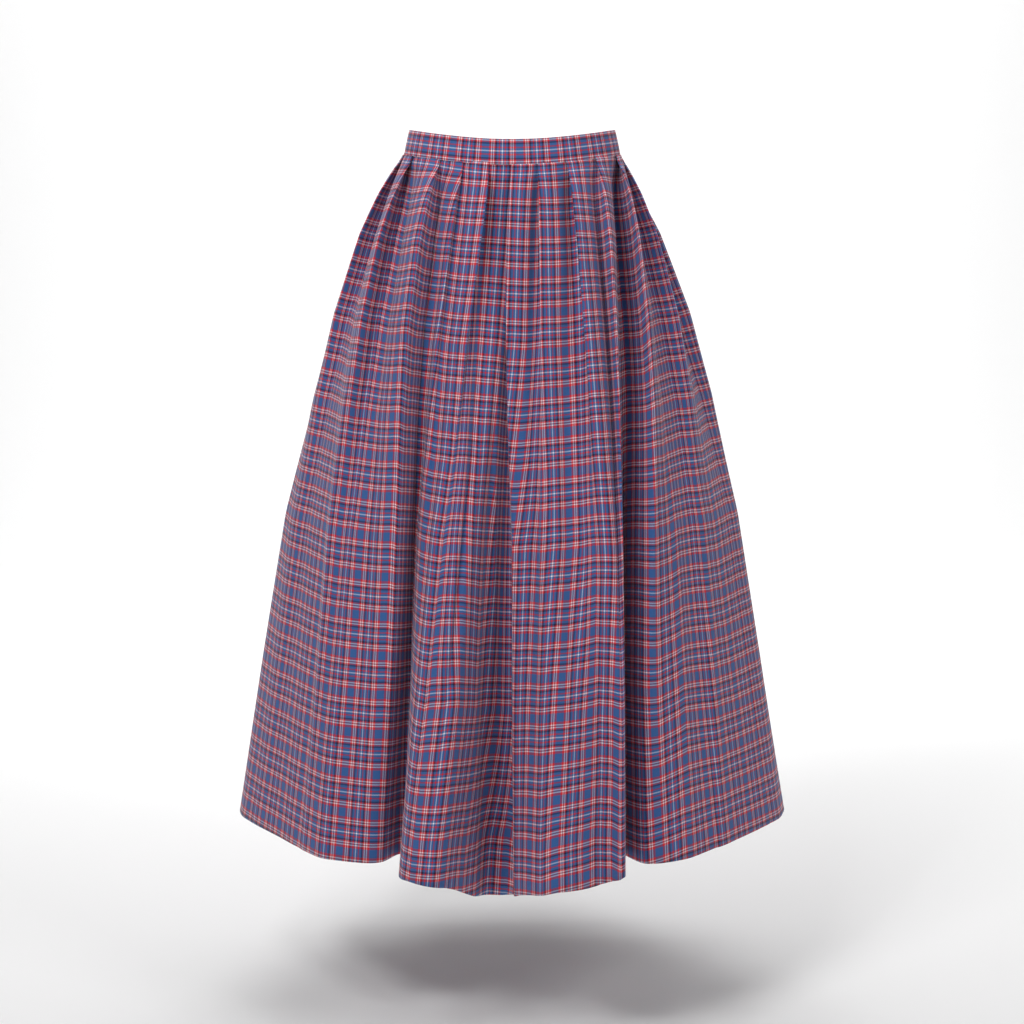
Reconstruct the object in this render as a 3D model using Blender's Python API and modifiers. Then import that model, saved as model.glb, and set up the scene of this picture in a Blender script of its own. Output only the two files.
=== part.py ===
"""A full midi skirt, worn and filled out: a straight waistband, soft unpressed pleats all round, a back zip.

Axes: +X to the viewer's right, -Y to the front, +Z up.  The origin is the centre of the waist, level
with the middle of the waistband.  Every length is in metres.
"""

import math
from typing import NamedTuple

import bpy
import numpy as np

# Driving sizes
WALL = 0.0011  # cloth wall
SEAM_GAP = 0.0003  # between two sewn pieces
WAIST_HALF_WIDTH = 0.1200  # top edge of the waistband
WAIST_HALF_DEPTH = 0.0910
SEAM_HALF_WIDTH = 0.1275  # where the pleats join the waistband
SEAM_HALF_DEPTH = 0.0970
BAND_HEIGHT = 0.0290
BAND_WALL = 0.0026  # folded double
BAND_TOP = 0.0200  # at the sides
FRONT_DIP = 0.0100  # the waist's edge is this much lower at the centre front
BACK_DIP = 0.0125
LENGTH = 0.8075  # waist seam to hem at the sides, straight down
PLEAT_LAYER = 0.0017  # from one layer of a pleat to the next at the seam
FOLD_REACH = 0.0009  # from a layer's last straight point to the tip of its fold
PLEAT_TURN = 0.0022  # cloth in half of a fold's turn

# How far each height has moved from the waist seam's form to the hem's, at the sides and at the front,
# and how much of the hem's waves it has.
FLARE = (
    # down, side, front, waves
    (0.0000, 0.000, 0.000, 0.00),
    (0.0160, 0.050, 0.027, 0.00),
    (0.0440, 0.134, 0.080, 0.00),
    (0.0910, 0.254, 0.155, 0.02),
    (0.1860, 0.436, 0.290, 0.15),
    (0.2830, 0.567, 0.405, 0.40),
    (0.4290, 0.720, 0.570, 0.78),
    (0.6050, 0.849, 0.755, 1.00),
    (0.8075, 1.000, 1.000, 1.00),
)


class Pleat(NamedTuple):
    """One soft pleat: its fold at the waist seam, and where on the cloth the fold lies.

    Threads are counted along the hem from the centre fold, positive to the viewer's right.
    """

    name: str
    seam: float  # along the waist seam from the centre front
    points: int  # +1: the fold's edge points to the right, -1: to the left
    lap: float  # how far the fold lies over its own return at the seam
    edge: float  # the thread at the fold's edge at the seam
    under: float  # the thread of the next cloth that goes in under the edge there
    edge_low: float  # the thread at the edge at the hem
    hidden_low: float  # cloth that the fold still hides there
    stand: float  # how far the edge stands out where the pleat opens
    fades: float  # how far below the seam the edge is gone
    hip: float  # sideways wander of the edge at the hip
    tuck: float  # how far the edge laps over, and the cloth under it the other way, where the pleat opens


PLEATS = (
    Pleat("left_10", -0.3260, 1, 0.015, -1.1345, -1.0545, -1.150, 0.040, 0.008, 0.45, 0.000, 0.006),
    Pleat("left_9", -0.3000, 1, 0.015, -1.0285, -0.9485, -1.050, 0.040, 0.008, 0.55, 0.000, 0.006),
    Pleat("left_8", -0.2720, 1, 0.016, -0.9205, -0.8405, -0.870, 0.036, 0.008, 0.40, 0.000, 0.006),
    Pleat("left_7", -0.2420, 1, 0.017, -0.8105, -0.7305, -0.792, 0.036, 0.008, 0.50, 0.000, 0.006),
    Pleat("left_6", -0.2080, 1, 0.019, -0.6965, -0.6165, -0.695, 0.036, 0.008, 0.45, 0.000, 0.006),
    Pleat("left_5", -0.1720, 1, 0.019, -0.5805, -0.5005, -0.573, 0.040, 0.008, 0.40, 0.000, 0.006),
    Pleat("left_4", -0.1330, 1, 0.020, -0.4615, -0.4060, -0.468, 0.036, 0.013, 0.75, 0.003, 0.007),
    Pleat("left_3", -0.0870, 1, 0.010, -0.3575, -0.3380, -0.345, 0.060, 0.017, 1.60, 0.005, 0.012),
    Pleat("left_2", -0.0565, 1, 0.008, -0.3045, -0.2870, -0.243, 0.014, 0.007, 0.90, 0.002, 0.003),
    Pleat("left_1", -0.0265, 1, 0.013, -0.2600, -0.1580, -0.222, 0.014, 0.011, 1.00, 0.008, 0.008),
    Pleat("centre", 0.0000, -1, 0.019, -0.0270, -0.1300, 0.000, 0.040, 0.011, 1.60, 0.000, 0.006),
    Pleat("right_1", 0.0295, -1, 0.014, 0.0620, 0.0010, 0.060, 0.012, 0.007, 0.36, 0.000, 0.002),
    Pleat("right_2", 0.0640, -1, 0.017, 0.1470, 0.1030, 0.143, 0.016, 0.012, 0.80, 0.010, 0.009),
    Pleat("right_3", 0.1040, -1, 0.010, 0.2140, 0.1920, 0.176, 0.014, 0.013, 1.00, 0.006, 0.006),
    Pleat("right_4", 0.1470, -1, 0.020, 0.3370, 0.2570, 0.292, 0.040, 0.015, 1.60, 0.008, 0.012),
    Pleat("right_5", 0.1820, -1, 0.019, 0.4660, 0.3720, 0.409, 0.036, 0.008, 0.40, 0.000, 0.006),
    Pleat("right_6", 0.2150, -1, 0.019, 0.5930, 0.4990, 0.575, 0.060, 0.008, 0.45, 0.000, 0.006),
    Pleat("right_7", 0.2450, -1, 0.017, 0.7170, 0.6230, 0.634, 0.040, 0.008, 0.50, 0.000, 0.006),
    Pleat("right_8", 0.2730, -1, 0.016, 0.8390, 0.7450, 0.817, 0.040, 0.008, 0.40, 0.000, 0.006),
    Pleat("right_9", 0.3000, -1, 0.015, 0.9600, 0.8660, 0.979, 0.036, 0.008, 0.55, 0.000, 0.006),
    Pleat("right_10", 0.3260, -1, 0.015, 1.0800, 0.9860, 1.083, 0.040, 0.008, 0.50, 0.000, 0.006),
)

# Further down, the soft folds have moved over on the cloth: how far of the way to their hem threads.
DRIFT = (
    # down, share
    (0.000, 0.00),
    (0.190, 0.02),
    (0.330, 0.25),
    (0.420, 0.50),
    (0.600, 0.78),
    (0.8075, 1.00),
)


class Turn(NamedTuple):
    """A point that the hem passes, seen from above."""

    right: float
    forward: float
    drop: float  # how much lower than at the sides the hem hangs here


HEM = (
    Turn(-0.001, 0.200, 0.027),
    Turn(0.008, 0.216, 0.023),
    Turn(0.020, 0.236, 0.018),
    Turn(0.032, 0.251, 0.015),
    Turn(0.047, 0.263, 0.010),
    Turn(0.066, 0.258, 0.011),
    Turn(0.085, 0.247, 0.013),
    Turn(0.102, 0.236, 0.013),
    Turn(0.109, 0.228, 0.012),
    Turn(0.118, 0.238, 0.006),
    Turn(0.127, 0.251, -0.001),
    Turn(0.131, 0.215, 0.000),
    Turn(0.133, 0.152, 0.002),
    Turn(0.144, 0.186, 0.000),
    Turn(0.160, 0.192, 0.000),
    Turn(0.183, 0.188, 0.000),
    Turn(0.208, 0.174, 0.000),
    Turn(0.247, 0.130, 0.000),
    Turn(0.274, 0.100, 0.000),
    Turn(0.301, 0.066, 0.000),
    Turn(0.331, 0.024, 0.000),
    Turn(0.342, -0.016, 0.000),
    Turn(0.328, -0.062, 0.000),
    Turn(0.290, -0.090, 0.000),
    Turn(0.257, -0.105, 0.000),
    Turn(0.246, -0.150, 0.000),
    Turn(0.250, -0.196, 0.000),
    Turn(0.214, -0.228, 0.000),
    Turn(0.168, -0.226, 0.000),
    Turn(0.130, -0.216, 0.000),
    Turn(0.108, -0.246, 0.000),
    Turn(0.074, -0.286, 0.000),
    Turn(0.030, -0.292, 0.000),
    Turn(-0.012, -0.280, 0.000),
    Turn(-0.052, -0.266, 0.000),
    Turn(-0.090, -0.276, 0.000),
    Turn(-0.130, -0.276, 0.000),
    Turn(-0.160, -0.244, 0.000),
    Turn(-0.172, -0.198, 0.000),
    Turn(-0.206, -0.190, 0.000),
    Turn(-0.252, -0.196, 0.000),
    Turn(-0.278, -0.160, 0.000),
    Turn(-0.276, -0.112, 0.000),
    Turn(-0.304, -0.082, 0.000),
    Turn(-0.334, -0.052, 0.000),
    Turn(-0.341, -0.012, 0.000),
    Turn(-0.334, 0.020, 0.000),
    Turn(-0.307, 0.059, 0.000),
    Turn(-0.279, 0.097, 0.000),
    Turn(-0.250, 0.141, 0.000),
    Turn(-0.224, 0.174, 0.000),
    Turn(-0.188, 0.189, 0.000),
    Turn(-0.161, 0.190, 0.000),
    Turn(-0.143, 0.181, 0.000),
    Turn(-0.135, 0.150, 0.002),
    Turn(-0.129, 0.195, 0.000),
    Turn(-0.129, 0.240, 0.000),
    Turn(-0.121, 0.257, -0.002),
    Turn(-0.105, 0.269, -0.001),
    Turn(-0.089, 0.272, 0.001),
    Turn(-0.076, 0.258, 0.006),
    Turn(-0.066, 0.238, 0.012),
    Turn(-0.057, 0.220, 0.019),
    Turn(-0.049, 0.202, 0.025),
    Turn(-0.038, 0.183, 0.032),
    Turn(-0.027, 0.168, 0.036),
    Turn(-0.016, 0.163, 0.038),
    Turn(-0.006, 0.170, 0.036),
    Turn(0.009, 0.180, 0.034),
    Turn(0.009, 0.190, 0.031),
)
CLOTH_STEP = 0.0005  # spacing of the threads that the form is worked out on
HEM_ROUNDING = 0.0060  # how far a turn of the hem is rounded
FOLD_ROUNDING = 0.0045  # how far the pleats' edges soften on their way to the hem
SIDE_FROM = 0.030  # along the seam: the front's own flare ends here
SIDE_TO = 0.100  # and the sides' flare is whole here
SOFT_DOWN = (0.0, 0.05, 0.50, 1.0)  # share of the way down, and of the rounding above
SOFT_SHARE = (0.0, 0.25, 0.80, 1.0)
WAVE_REACH = 0.045  # along the hem: what is shorter than this is a wave
HIP_PEAK = 0.6  # power that puts the wander's peak at the hip
CREASE_REACH = 0.040  # cloth either side of a pleat that its edge lifts
CREASE_KNEE = 0.015
CREASE = (0.0, 0.5, 1.0, -1.0, -1.0, -0.5, 0.0)  # before the edge, the edge, the root, under the edge, past it
TUCK = (0.0, 0.6, 1.0, 0.0, -1.0, -0.6, 0.0)  # the same places, sideways
TUCK_SHARE = 0.35  # of the hidden cloth, at most
LAP_SPARE = 0.0025  # a shown layer stays flat this far past the lap under it
FLAT_SHARE = 0.75
OPENS_BELOW = 0.006  # the pleats lie flat this far below the seam
OPENS_OVER = 0.030  # height in which a pleat's edge comes to stand out
SIDE_SEAM_RIGHT = 0.530  # threads, along the hem
SIDE_SEAM_LEFT = -0.715
ROWS = (0.0, 0.012, 0.026, 0.046, 0.075, 0.115, 0.175, 0.245, 0.350, 0.490, 0.640, LENGTH)
THREAD_SPACING = 0.0160  # at most, between the threads that a panel's wall is built on
THREAD_ROOM = 0.0006  # at least

# Waistband
BAND_INSET = 0.0010  # its lower edge sits this far inside the line of the pleats
BAND_STEPS = 96
BAND_EDGE = 0.0007  # rounding
BACK_SLIT = 0.0010  # half of the gap between the waistband's ends, where the slider's neck passes

# Concealed zip at the centre back
TAPE_WIDTH = 0.0110
TAPE_WALL = 0.0010
TAPE_APART = 0.0012  # from the centre line to each tape's edge
TAPE_FROM_TOP = 0.0015  # below the waistband's top edge
TAPE_GAP = 0.0004  # between a tape and what it lies on
ZIP_ROWS = 7  # of the rows above, that the zip's tapes run down
SLIDER_WIDTH = 0.0064
SLIDER_DEPTH = 0.0024
SLIDER_HEIGHT = 0.0090
SLIDER_FROM_TOP = 0.0070  # hinge axis, below the waistband's top edge
NECK_WALL = 0.0012
NECK_HEIGHT = 0.0026
EYE_OUTER = 0.0021
EYE_HOLE = 0.0011
EYE_STAND = 0.0048  # hinge axis, out from the waistband's face
BAR_RADIUS = 0.0006
PULL_WALL = 0.0011
PULL_LENGTH = 0.0160
PULL_WIDTH = 0.0066
PULL_NECK = 0.0048
WINDOW_HALF = 0.00105
WINDOW_DROP = 0.0028  # from the hinge axis to the window's lower edge
ROUND_STEPS = 24


def smooth_step(value):
    """0 to 1 with level ends."""
    value = np.clip(value, 0.0, 1.0)
    return value * value * (3.0 - 2.0 * value)


def soften(values, reach, step):
    """A closed ring's values, softened over a distance with a bell-shaped weight."""
    if reach < step:
        return values
    count = len(values)
    half = int(3.0 * reach / step) + 1
    offsets = np.arange(-half, half + 1)
    weight = np.exp(-0.5 * (offsets * step / reach) ** 2)
    weight /= weight.sum()
    padded = np.take(values, np.arange(-half, count + half) % count, axis=0)
    return np.stack([np.convolve(column, weight, mode="valid") for column in padded.T], axis=1)


def lengths_along(points):
    """How far along an open line each of its points is."""
    steps = np.linalg.norm(np.diff(points, axis=0), axis=1)
    return np.concatenate([[0.0], np.cumsum(steps)])


def oval(half_width, half_depth):
    """An oval from the centre back round by the left, the front and the right: places and lengths."""
    angle = np.linspace(-math.pi, math.pi, 2881)
    points = np.stack([half_width * np.sin(angle), half_depth * np.cos(angle)], axis=1)
    along = lengths_along(points)
    return along - along[-1] / 2.0, points


class Skirt:
    """The skirt's middle surface, thread by thread: where each thread is at each height."""

    def __init__(self):
        self.seam_along, self.seam_points = oval(SEAM_HALF_WIDTH, SEAM_HALF_DEPTH)
        self.seam_length = self.seam_along[-1] * 2.0
        self.hem_points = self.hem_ring()
        self.smooth_hem = soften(self.hem_points, WAVE_REACH, CLOTH_STEP)
        self.cloth = len(self.hem_points) * CLOTH_STEP
        self.threads = np.arange(len(self.hem_points)) * CLOTH_STEP

    def hem_ring(self):
        """The hem from above, one row for each thread: right, forward, drop."""
        turns = np.array([(row.right, row.forward, row.drop) for row in HEM])
        ring = self.spaced(soften(self.spaced(turns), HEM_ROUNDING, CLOTH_STEP))
        return ring

    @staticmethod
    def spaced(points):
        """A closed ring's points, spaced evenly by the cloth's step."""
        ring = np.vstack([points, points[:1]])
        along = lengths_along(ring[:, :2])
        count = int(round(along[-1] / CLOTH_STEP))
        even = np.arange(count) * along[-1] / count
        return np.stack([np.interp(even, along, ring[:, k]) for k in range(3)], axis=1)

    def folds(self, down):
        """Each pleat at a height: the threads of its edge and of the cloth under it, and its lap."""
        downs, shares = np.array(DRIFT).T
        drift = float(np.interp(down, downs, shares))
        rows = []
        for pleat in PLEATS:
            edge = pleat.edge + (pleat.edge_low - pleat.edge) * drift
            under_low = pleat.edge_low + pleat.points * pleat.hidden_low
            under = pleat.under + (under_low - pleat.under) * drift
            room = abs(under - edge) / 2.0 - 2.5 * PLEAT_TURN
            rows.append((edge, under, min(pleat.lap, max(room, PLEAT_TURN))))
        return rows

    def keys(self, down):
        """The cloth's path at the waist seam with the folds of a height: thread, place and layer."""
        folds = self.folds(down)
        rows = []
        for index, (pleat, (edge, under, lap)) in enumerate(zip(PLEATS, folds)):
            side = pleat.points
            behind = (index - side) % len(PLEATS)
            shown = (pleat.seam - PLEATS[behind].seam) * side % self.seam_length
            start = folds[behind][1] if PLEATS[behind].points == side else folds[behind][0]
            thread_shown = (edge - start) * side % self.cloth
            flat = min(lap + LAP_SPARE, shown * FLAT_SHARE)
            root = (edge + under) / 2.0
            inner = pleat.seam - side * lap
            fold = [
                (edge - side * thread_shown * flat / shown, pleat.seam - side * flat, 1.0),
                (edge - side * PLEAT_TURN, pleat.seam - side * FOLD_REACH, 1.0),
                (edge, pleat.seam, 0.5),
                (edge + side * PLEAT_TURN, pleat.seam - side * FOLD_REACH, 0.0),
                (root - side * PLEAT_TURN, inner + side * FOLD_REACH, 0.0),
                (root, inner, -0.5),
                (root + side * PLEAT_TURN, inner + side * FOLD_REACH, -1.0),
                (under, pleat.seam + side * FOLD_REACH, -1.0),
            ]
            rows += fold[::side]
        return np.array(rows)

    def seam_threads(self, down):
        """Each thread's place along the waist seam and its layer there."""
        keys = self.keys(down)
        round_once = np.array([self.cloth, self.seam_length, 0.0])
        keys = np.vstack([keys, keys + round_once])
        return [np.interp(self.threads, keys[:, 0], keys[:, k]) for k in (1, 2)]

    def lifts(self, down):
        """How far the pleats' edges stand out at a height, and how far they wander sideways."""
        lift = np.zeros(len(self.threads))
        turn = np.zeros(len(self.threads))
        opened = 1.0 - math.exp(-max(down - OPENS_BELOW, 0.0) / OPENS_OVER)
        for pleat, (edge, under, _) in zip(PLEATS, self.folds(down)):
            away = (self.threads - edge) * pleat.points
            away = (away + self.cloth / 2.0) % self.cloth - self.cloth / 2.0
            hidden = abs(under - edge)
            half = hidden / 2.0
            knots = (-CREASE_REACH, -CREASE_KNEE, 0.0, half, hidden, hidden + CREASE_KNEE, hidden + CREASE_REACH)
            left = 1.0 - float(smooth_step(down / pleat.fades))
            lift += np.interp(away, knots, CREASE) * pleat.stand * opened * left
            near = 1.0 - smooth_step(np.abs(away - half) / (CREASE_REACH + half))
            turn += near * pleat.hip * math.sin(math.pi * (down / LENGTH) ** HIP_PEAK)
            tuck = min(pleat.tuck, hidden * TUCK_SHARE) * opened * left * (1.0 - (down / LENGTH) ** 2)
            turn += np.interp(away, knots, TUCK) * pleat.points * tuck
        return lift, turn

    def seam_plan(self, place, layer):
        """Points on the waist seam's oval, moved out by their layer."""
        plan = np.stack([np.interp(place, self.seam_along, self.seam_points[:, k]) for k in range(2)], axis=1)
        slope = plan / np.array([SEAM_HALF_WIDTH**2, SEAM_HALF_DEPTH**2])
        normal = slope / np.linalg.norm(slope, axis=1, keepdims=True)
        return plan + normal * (layer * PLEAT_LAYER)[:, None]

    def dip(self, place):
        """How much lower than at the sides the waist runs at a place along it."""
        level = np.cos(np.asarray(place) * 2.0 * math.pi / self.seam_length)
        return np.where(level > 0.0, FRONT_DIP, BACK_DIP) * level**2

    def flare(self, down, place):
        """How far each thread has moved from the seam's form to the hem's, and the hem's share of waves."""
        downs, side, front, waves = np.array(FLARE).T
        weight = smooth_step((np.abs(place) - SIDE_FROM) / (SIDE_TO - SIDE_FROM))
        moved = np.interp(down, downs, front) * (1.0 - weight) + np.interp(down, downs, side) * weight
        return moved, float(np.interp(down, downs, waves))

    def ring(self, down):
        """The whole ring at a height below the seam, one point (x, y, z) for each thread."""
        share = down / LENGTH
        place, layer = self.seam_threads(down)
        place = (place + self.seam_length / 2.0) % self.seam_length - self.seam_length / 2.0
        moved, waves = self.flare(down, place)
        hem = self.smooth_hem[:, :2] * (1.0 - waves) + self.hem_points[:, :2] * waves
        plan = self.seam_plan(place, layer) * (1.0 - moved)[:, None] + hem * moved[:, None]
        radius = np.linalg.norm(plan, axis=1, keepdims=True)
        lift, turn = self.lifts(down)
        plan = plan * (1.0 + lift[:, None] / radius)
        angle = turn[:, None] / radius
        sideways = np.stack([plan[:, 1], -plan[:, 0]], axis=1)
        plan = plan * np.cos(angle) + sideways * np.sin(angle)
        softened = float(np.interp(share, SOFT_DOWN, SOFT_SHARE))
        plan = soften(plan, FOLD_ROUNDING * softened, CLOTH_STEP)
        top = BAND_TOP - BAND_HEIGHT - SEAM_GAP - WALL / 2.0 - self.dip(place)
        bottom = BAND_TOP - BAND_HEIGHT - LENGTH - self.hem_points[:, 2]
        height = top * (1.0 - share) + bottom * share
        return np.stack([plan[:, 0], -plan[:, 1], height], axis=1)


# Build
def clear_scene():
    """Start from nothing."""
    for thing in list(bpy.data.objects):
        bpy.data.objects.remove(thing)


def paint(name, colour, roughness, metallic=0.0):
    """A plain material."""
    material = bpy.data.materials.new(name)
    material.use_nodes = True
    shader = material.node_tree.nodes["Principled BSDF"]
    shader.inputs["Base Color"].default_value = (*colour, 1.0)
    shader.inputs["Roughness"].default_value = roughness
    shader.inputs["Metallic"].default_value = metallic
    material.diffuse_color = (*colour, 1.0)
    return material


def add_object(name, points, faces, material, home):
    """One named object from its points and faces."""
    mesh = bpy.data.meshes.new(name)
    mesh.from_pydata([tuple(float(v) for v in point) for point in points], [], faces)
    mesh.materials.append(material)
    thing = bpy.data.objects.new(name, mesh)
    home.objects.link(thing)
    return thing


def grid_faces(rows, columns):
    """Quads of a grid whose points run row by row."""
    faces = []
    for row in range(rows - 1):
        for column in range(columns - 1):
            first = row * columns + column
            faces.append((first, first + columns, first + columns + 1, first + 1))
    return faces


def add_cloth(name, grid, wall, material, home):
    """A cloth wall: an open sheet of points, thickened to both sides."""
    rows, columns, _ = grid.shape
    thing = add_object(name, grid.reshape(-1, 3), grid_faces(rows, columns), material, home)
    solidify = thing.modifiers.new("wall", "SOLIDIFY")
    solidify.thickness = wall
    solidify.offset = 0.0
    for face in thing.data.polygons:
        face.use_smooth = True
    return thing


def join_solids(name, first, steps, material, home):
    """One closed solid: a first one, and others joined to it or cut from it in turn."""
    body = add_object(name, *first, material, home)
    for operation, (points, faces) in steps:
        tool = add_object(name + "_piece", points, faces, material, home)
        modifier = body.modifiers.new("join", "BOOLEAN")
        modifier.solver = "EXACT"
        modifier.operation = operation
        modifier.object = tool
        graph = bpy.context.evaluated_depsgraph_get()
        joined = bpy.data.meshes.new_from_object(body.evaluated_get(graph))
        body.modifiers.clear()
        body.data = joined
        bpy.data.objects.remove(tool)
    return body


def box(low, high):
    """A box between two corners."""
    points = [(x, y, z) for x in (low[0], high[0]) for y in (low[1], high[1]) for z in (low[2], high[2])]
    faces = [(0, 1, 3, 2), (4, 6, 7, 5), (0, 4, 5, 1), (2, 3, 7, 6), (0, 2, 6, 4), (1, 5, 7, 3)]
    return points, faces


def drum(centre, radius, half_length):
    """A round bar along X."""
    points = [
        (
            centre[0] + x,
            centre[1] + radius * math.cos(2.0 * math.pi * step / ROUND_STEPS),
            centre[2] + radius * math.sin(2.0 * math.pi * step / ROUND_STEPS),
        )
        for x in (-half_length, half_length)
        for step in range(ROUND_STEPS)
    ]
    faces = [tuple(range(ROUND_STEPS))[::-1], tuple(range(ROUND_STEPS, 2 * ROUND_STEPS))]
    for step in range(ROUND_STEPS):
        after = (step + 1) % ROUND_STEPS
        faces.append((step, after, after + ROUND_STEPS, step + ROUND_STEPS))
    return points, faces


def panel_threads(skirt, start, end, rows):
    """The threads that a panel between two seams is built on, a row for each height.

    They follow the folds: where a fold has moved over on the cloth, its threads have too.
    """
    first = start + SEAM_GAP / 2.0
    last = end - SEAM_GAP / 2.0
    keys = np.array([skirt.keys(down)[:, 0] for down in rows])
    keys = np.hstack([keys, keys + skirt.cloth])
    inside = (keys[0] > first + PLEAT_TURN / 2.0) & (keys[0] < last - PLEAT_TURN / 2.0)
    keys = keys[:, inside]
    order = np.arange(1, keys.shape[1] + 1) * THREAD_ROOM
    keys = np.clip(keys, first + order, last - order[::-1])
    ends = np.ones((len(rows), 1))
    stops = np.hstack([ends * first, keys, ends * last])
    columns = []
    for here, after in zip(stops.T[:-1], stops.T[1:]):
        parts = max(1, math.ceil((after - here).max() / THREAD_SPACING))
        columns += [here + (after - here) * part / parts for part in range(parts)]
    return np.array(columns + [stops[:, -1]]).T


def panel_grid(skirt, start, end, rows):
    """A panel's middle surface as rows of points."""
    lookup = np.concatenate([skirt.threads - skirt.cloth, skirt.threads, skirt.threads + skirt.cloth])
    grid = []
    for down, threads in zip(rows, panel_threads(skirt, start, end, rows)):
        ring = np.vstack([skirt.ring(down)] * 3)
        grid.append(np.stack([np.interp(threads, lookup, ring[:, k]) for k in range(3)], axis=1))
    return np.array(grid)


def band_frame(skirt, place):
    """The waistband at a place: its top's middle, the way down it and the way out of it."""
    angle = np.interp(place, skirt.seam_along, np.linspace(-math.pi, math.pi, len(skirt.seam_along)))
    ahead = np.array([math.sin(angle), -math.cos(angle), 0.0])
    top = ahead * (WAIST_HALF_WIDTH, WAIST_HALF_DEPTH, 0.0)
    top[2] = BAND_TOP - skirt.dip(place)
    low = ahead * (SEAM_HALF_WIDTH - BAND_INSET, SEAM_HALF_DEPTH - BAND_INSET, 0.0)
    low[2] = top[2] - BAND_HEIGHT
    down = (low - top) / np.linalg.norm(low - top)
    sideways = np.array([math.cos(angle) * WAIST_HALF_WIDTH, math.sin(angle) * WAIST_HALF_DEPTH, 0.0])
    out = np.cross(down, sideways)
    return top, low, out / np.linalg.norm(out)


def add_waistband(skirt, material, home):
    """The waistband: one strip folded double, its ends meeting at the centre back."""
    half = BAND_WALL / 2.0
    edge = BAND_EDGE / BAND_HEIGHT
    section = (
        (-half, edge),
        (-half + BAND_EDGE, 0.0),
        (half - BAND_EDGE, 0.0),
        (half, edge),
        (half, 1.0 - edge),
        (half - BAND_EDGE, 1.0),
        (-half + BAND_EDGE, 1.0),
        (-half, 1.0 - edge),
    )
    reach = skirt.seam_length / 2.0 - BACK_SLIT
    points = []
    for place in np.linspace(-reach, reach, BAND_STEPS + 1):
        top, low, out = band_frame(skirt, place)
        points += [top + (low - top) * share + out * across for across, share in section]
    count = len(section)
    faces = [tuple(range(count))[::-1], tuple(range(len(points) - count, len(points)))]
    for step in range(BAND_STEPS):
        for corner in range(count):
            here = step * count + corner
            after = step * count + (corner + 1) % count
            faces.append((here, after, after + count, here + count))
    add_object("waistband", points, faces, material, home)


def tape_line(skirt):
    """The middle of the zip tapes' back, from the waistband's top down: y and z."""
    reach = TAPE_APART + TAPE_WIDTH + WALL
    top, low, _ = band_frame(skirt, skirt.seam_length / 2.0 - reach)
    inside = BAND_WALL / 2.0 + TAPE_GAP + TAPE_WALL / 2.0
    line = [(top[1] - inside, top[2] - TAPE_FROM_TOP)]
    for down in ROWS[:ZIP_ROWS]:
        ring = skirt.ring(down)
        near = ring[(np.abs(ring[:, 0]) < reach) & (ring[:, 1] > 0.0)]
        height = near[np.abs(near[:, 0]).argmin(), 2]
        lies = near[:, 1].min() - WALL - TAPE_GAP - TAPE_WALL / 2.0
        line.append((min(lies, low[1] - inside) if down == 0.0 else lies, height))
    return line


def add_tape(name, side, line, material, home):
    """One zip tape, inside the back, on one side of the centre line."""
    across = sorted(side * (TAPE_APART + TAPE_WIDTH * share) for share in (0.0, 0.5, 1.0))
    grid = np.array([[(x, y, z) for x in across] for y, z in line])
    add_cloth(name, grid, TAPE_WALL, material, home)


def add_slider(line, axis, material, home):
    """The zip's slider: its body inside the tapes, its neck out through the slit, its eye for the pull."""
    back = line[0][0] - TAPE_WALL / 2.0 - 2.0 * TAPE_GAP
    body = box(
        (-SLIDER_WIDTH / 2.0, back - SLIDER_DEPTH, axis[2] - SLIDER_HEIGHT / 2.0),
        (SLIDER_WIDTH / 2.0, back, axis[2] + SLIDER_HEIGHT / 2.0),
    )
    neck = box(
        (-NECK_WALL / 2.0, back - SLIDER_DEPTH / 2.0, axis[2] - NECK_HEIGHT / 2.0),
        (NECK_WALL / 2.0, axis[1] - (EYE_OUTER + EYE_HOLE) / 2.0, axis[2] + NECK_HEIGHT / 2.0),
    )
    eye = drum(axis, EYE_OUTER, NECK_WALL / 2.0 + SEAM_GAP / 10.0)
    bore = drum(axis, EYE_HOLE, NECK_WALL)
    steps = [("UNION", neck), ("UNION", eye), ("DIFFERENCE", bore)]
    join_solids("zip_slider", body, steps, material, home)


def add_pull(axis, material, home):
    """The zip's pull tab, hanging from the slider's eye on its own bar."""
    half = PULL_WALL / 2.0
    outline = (
        (-PULL_NECK / 2.0, 0.0),
        (PULL_NECK / 2.0, 0.0),
        (PULL_WIDTH / 2.0, -0.60 * PULL_LENGTH),
        (PULL_WIDTH / 2.0, -0.92 * PULL_LENGTH),
        (PULL_WIDTH / 2.0 - 0.08 * PULL_LENGTH, -PULL_LENGTH),
        (-PULL_WIDTH / 2.0 + 0.08 * PULL_LENGTH, -PULL_LENGTH),
        (-PULL_WIDTH / 2.0, -0.92 * PULL_LENGTH),
        (-PULL_WIDTH / 2.0, -0.60 * PULL_LENGTH),
    )
    points = [(x, y, z) for y in (-half, half) for x, z in outline]
    count = len(outline)
    faces = [tuple(range(count))[::-1], tuple(range(count, 2 * count))]
    for corner in range(count):
        after = (corner + 1) % count
        faces.append((corner, after, after + count, corner + count))
    window = box((-WINDOW_HALF, -PULL_WALL, -WINDOW_DROP), (WINDOW_HALF, PULL_WALL, PULL_WALL))
    bar = drum((0.0, 0.0, 0.0), BAR_RADIUS, PULL_NECK / 2.0 - SEAM_GAP / 10.0)
    steps = [("DIFFERENCE", window), ("UNION", bar)]
    pull = join_solids("zip_pull", (points, faces), steps, material, home)
    pull.location = axis


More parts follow.
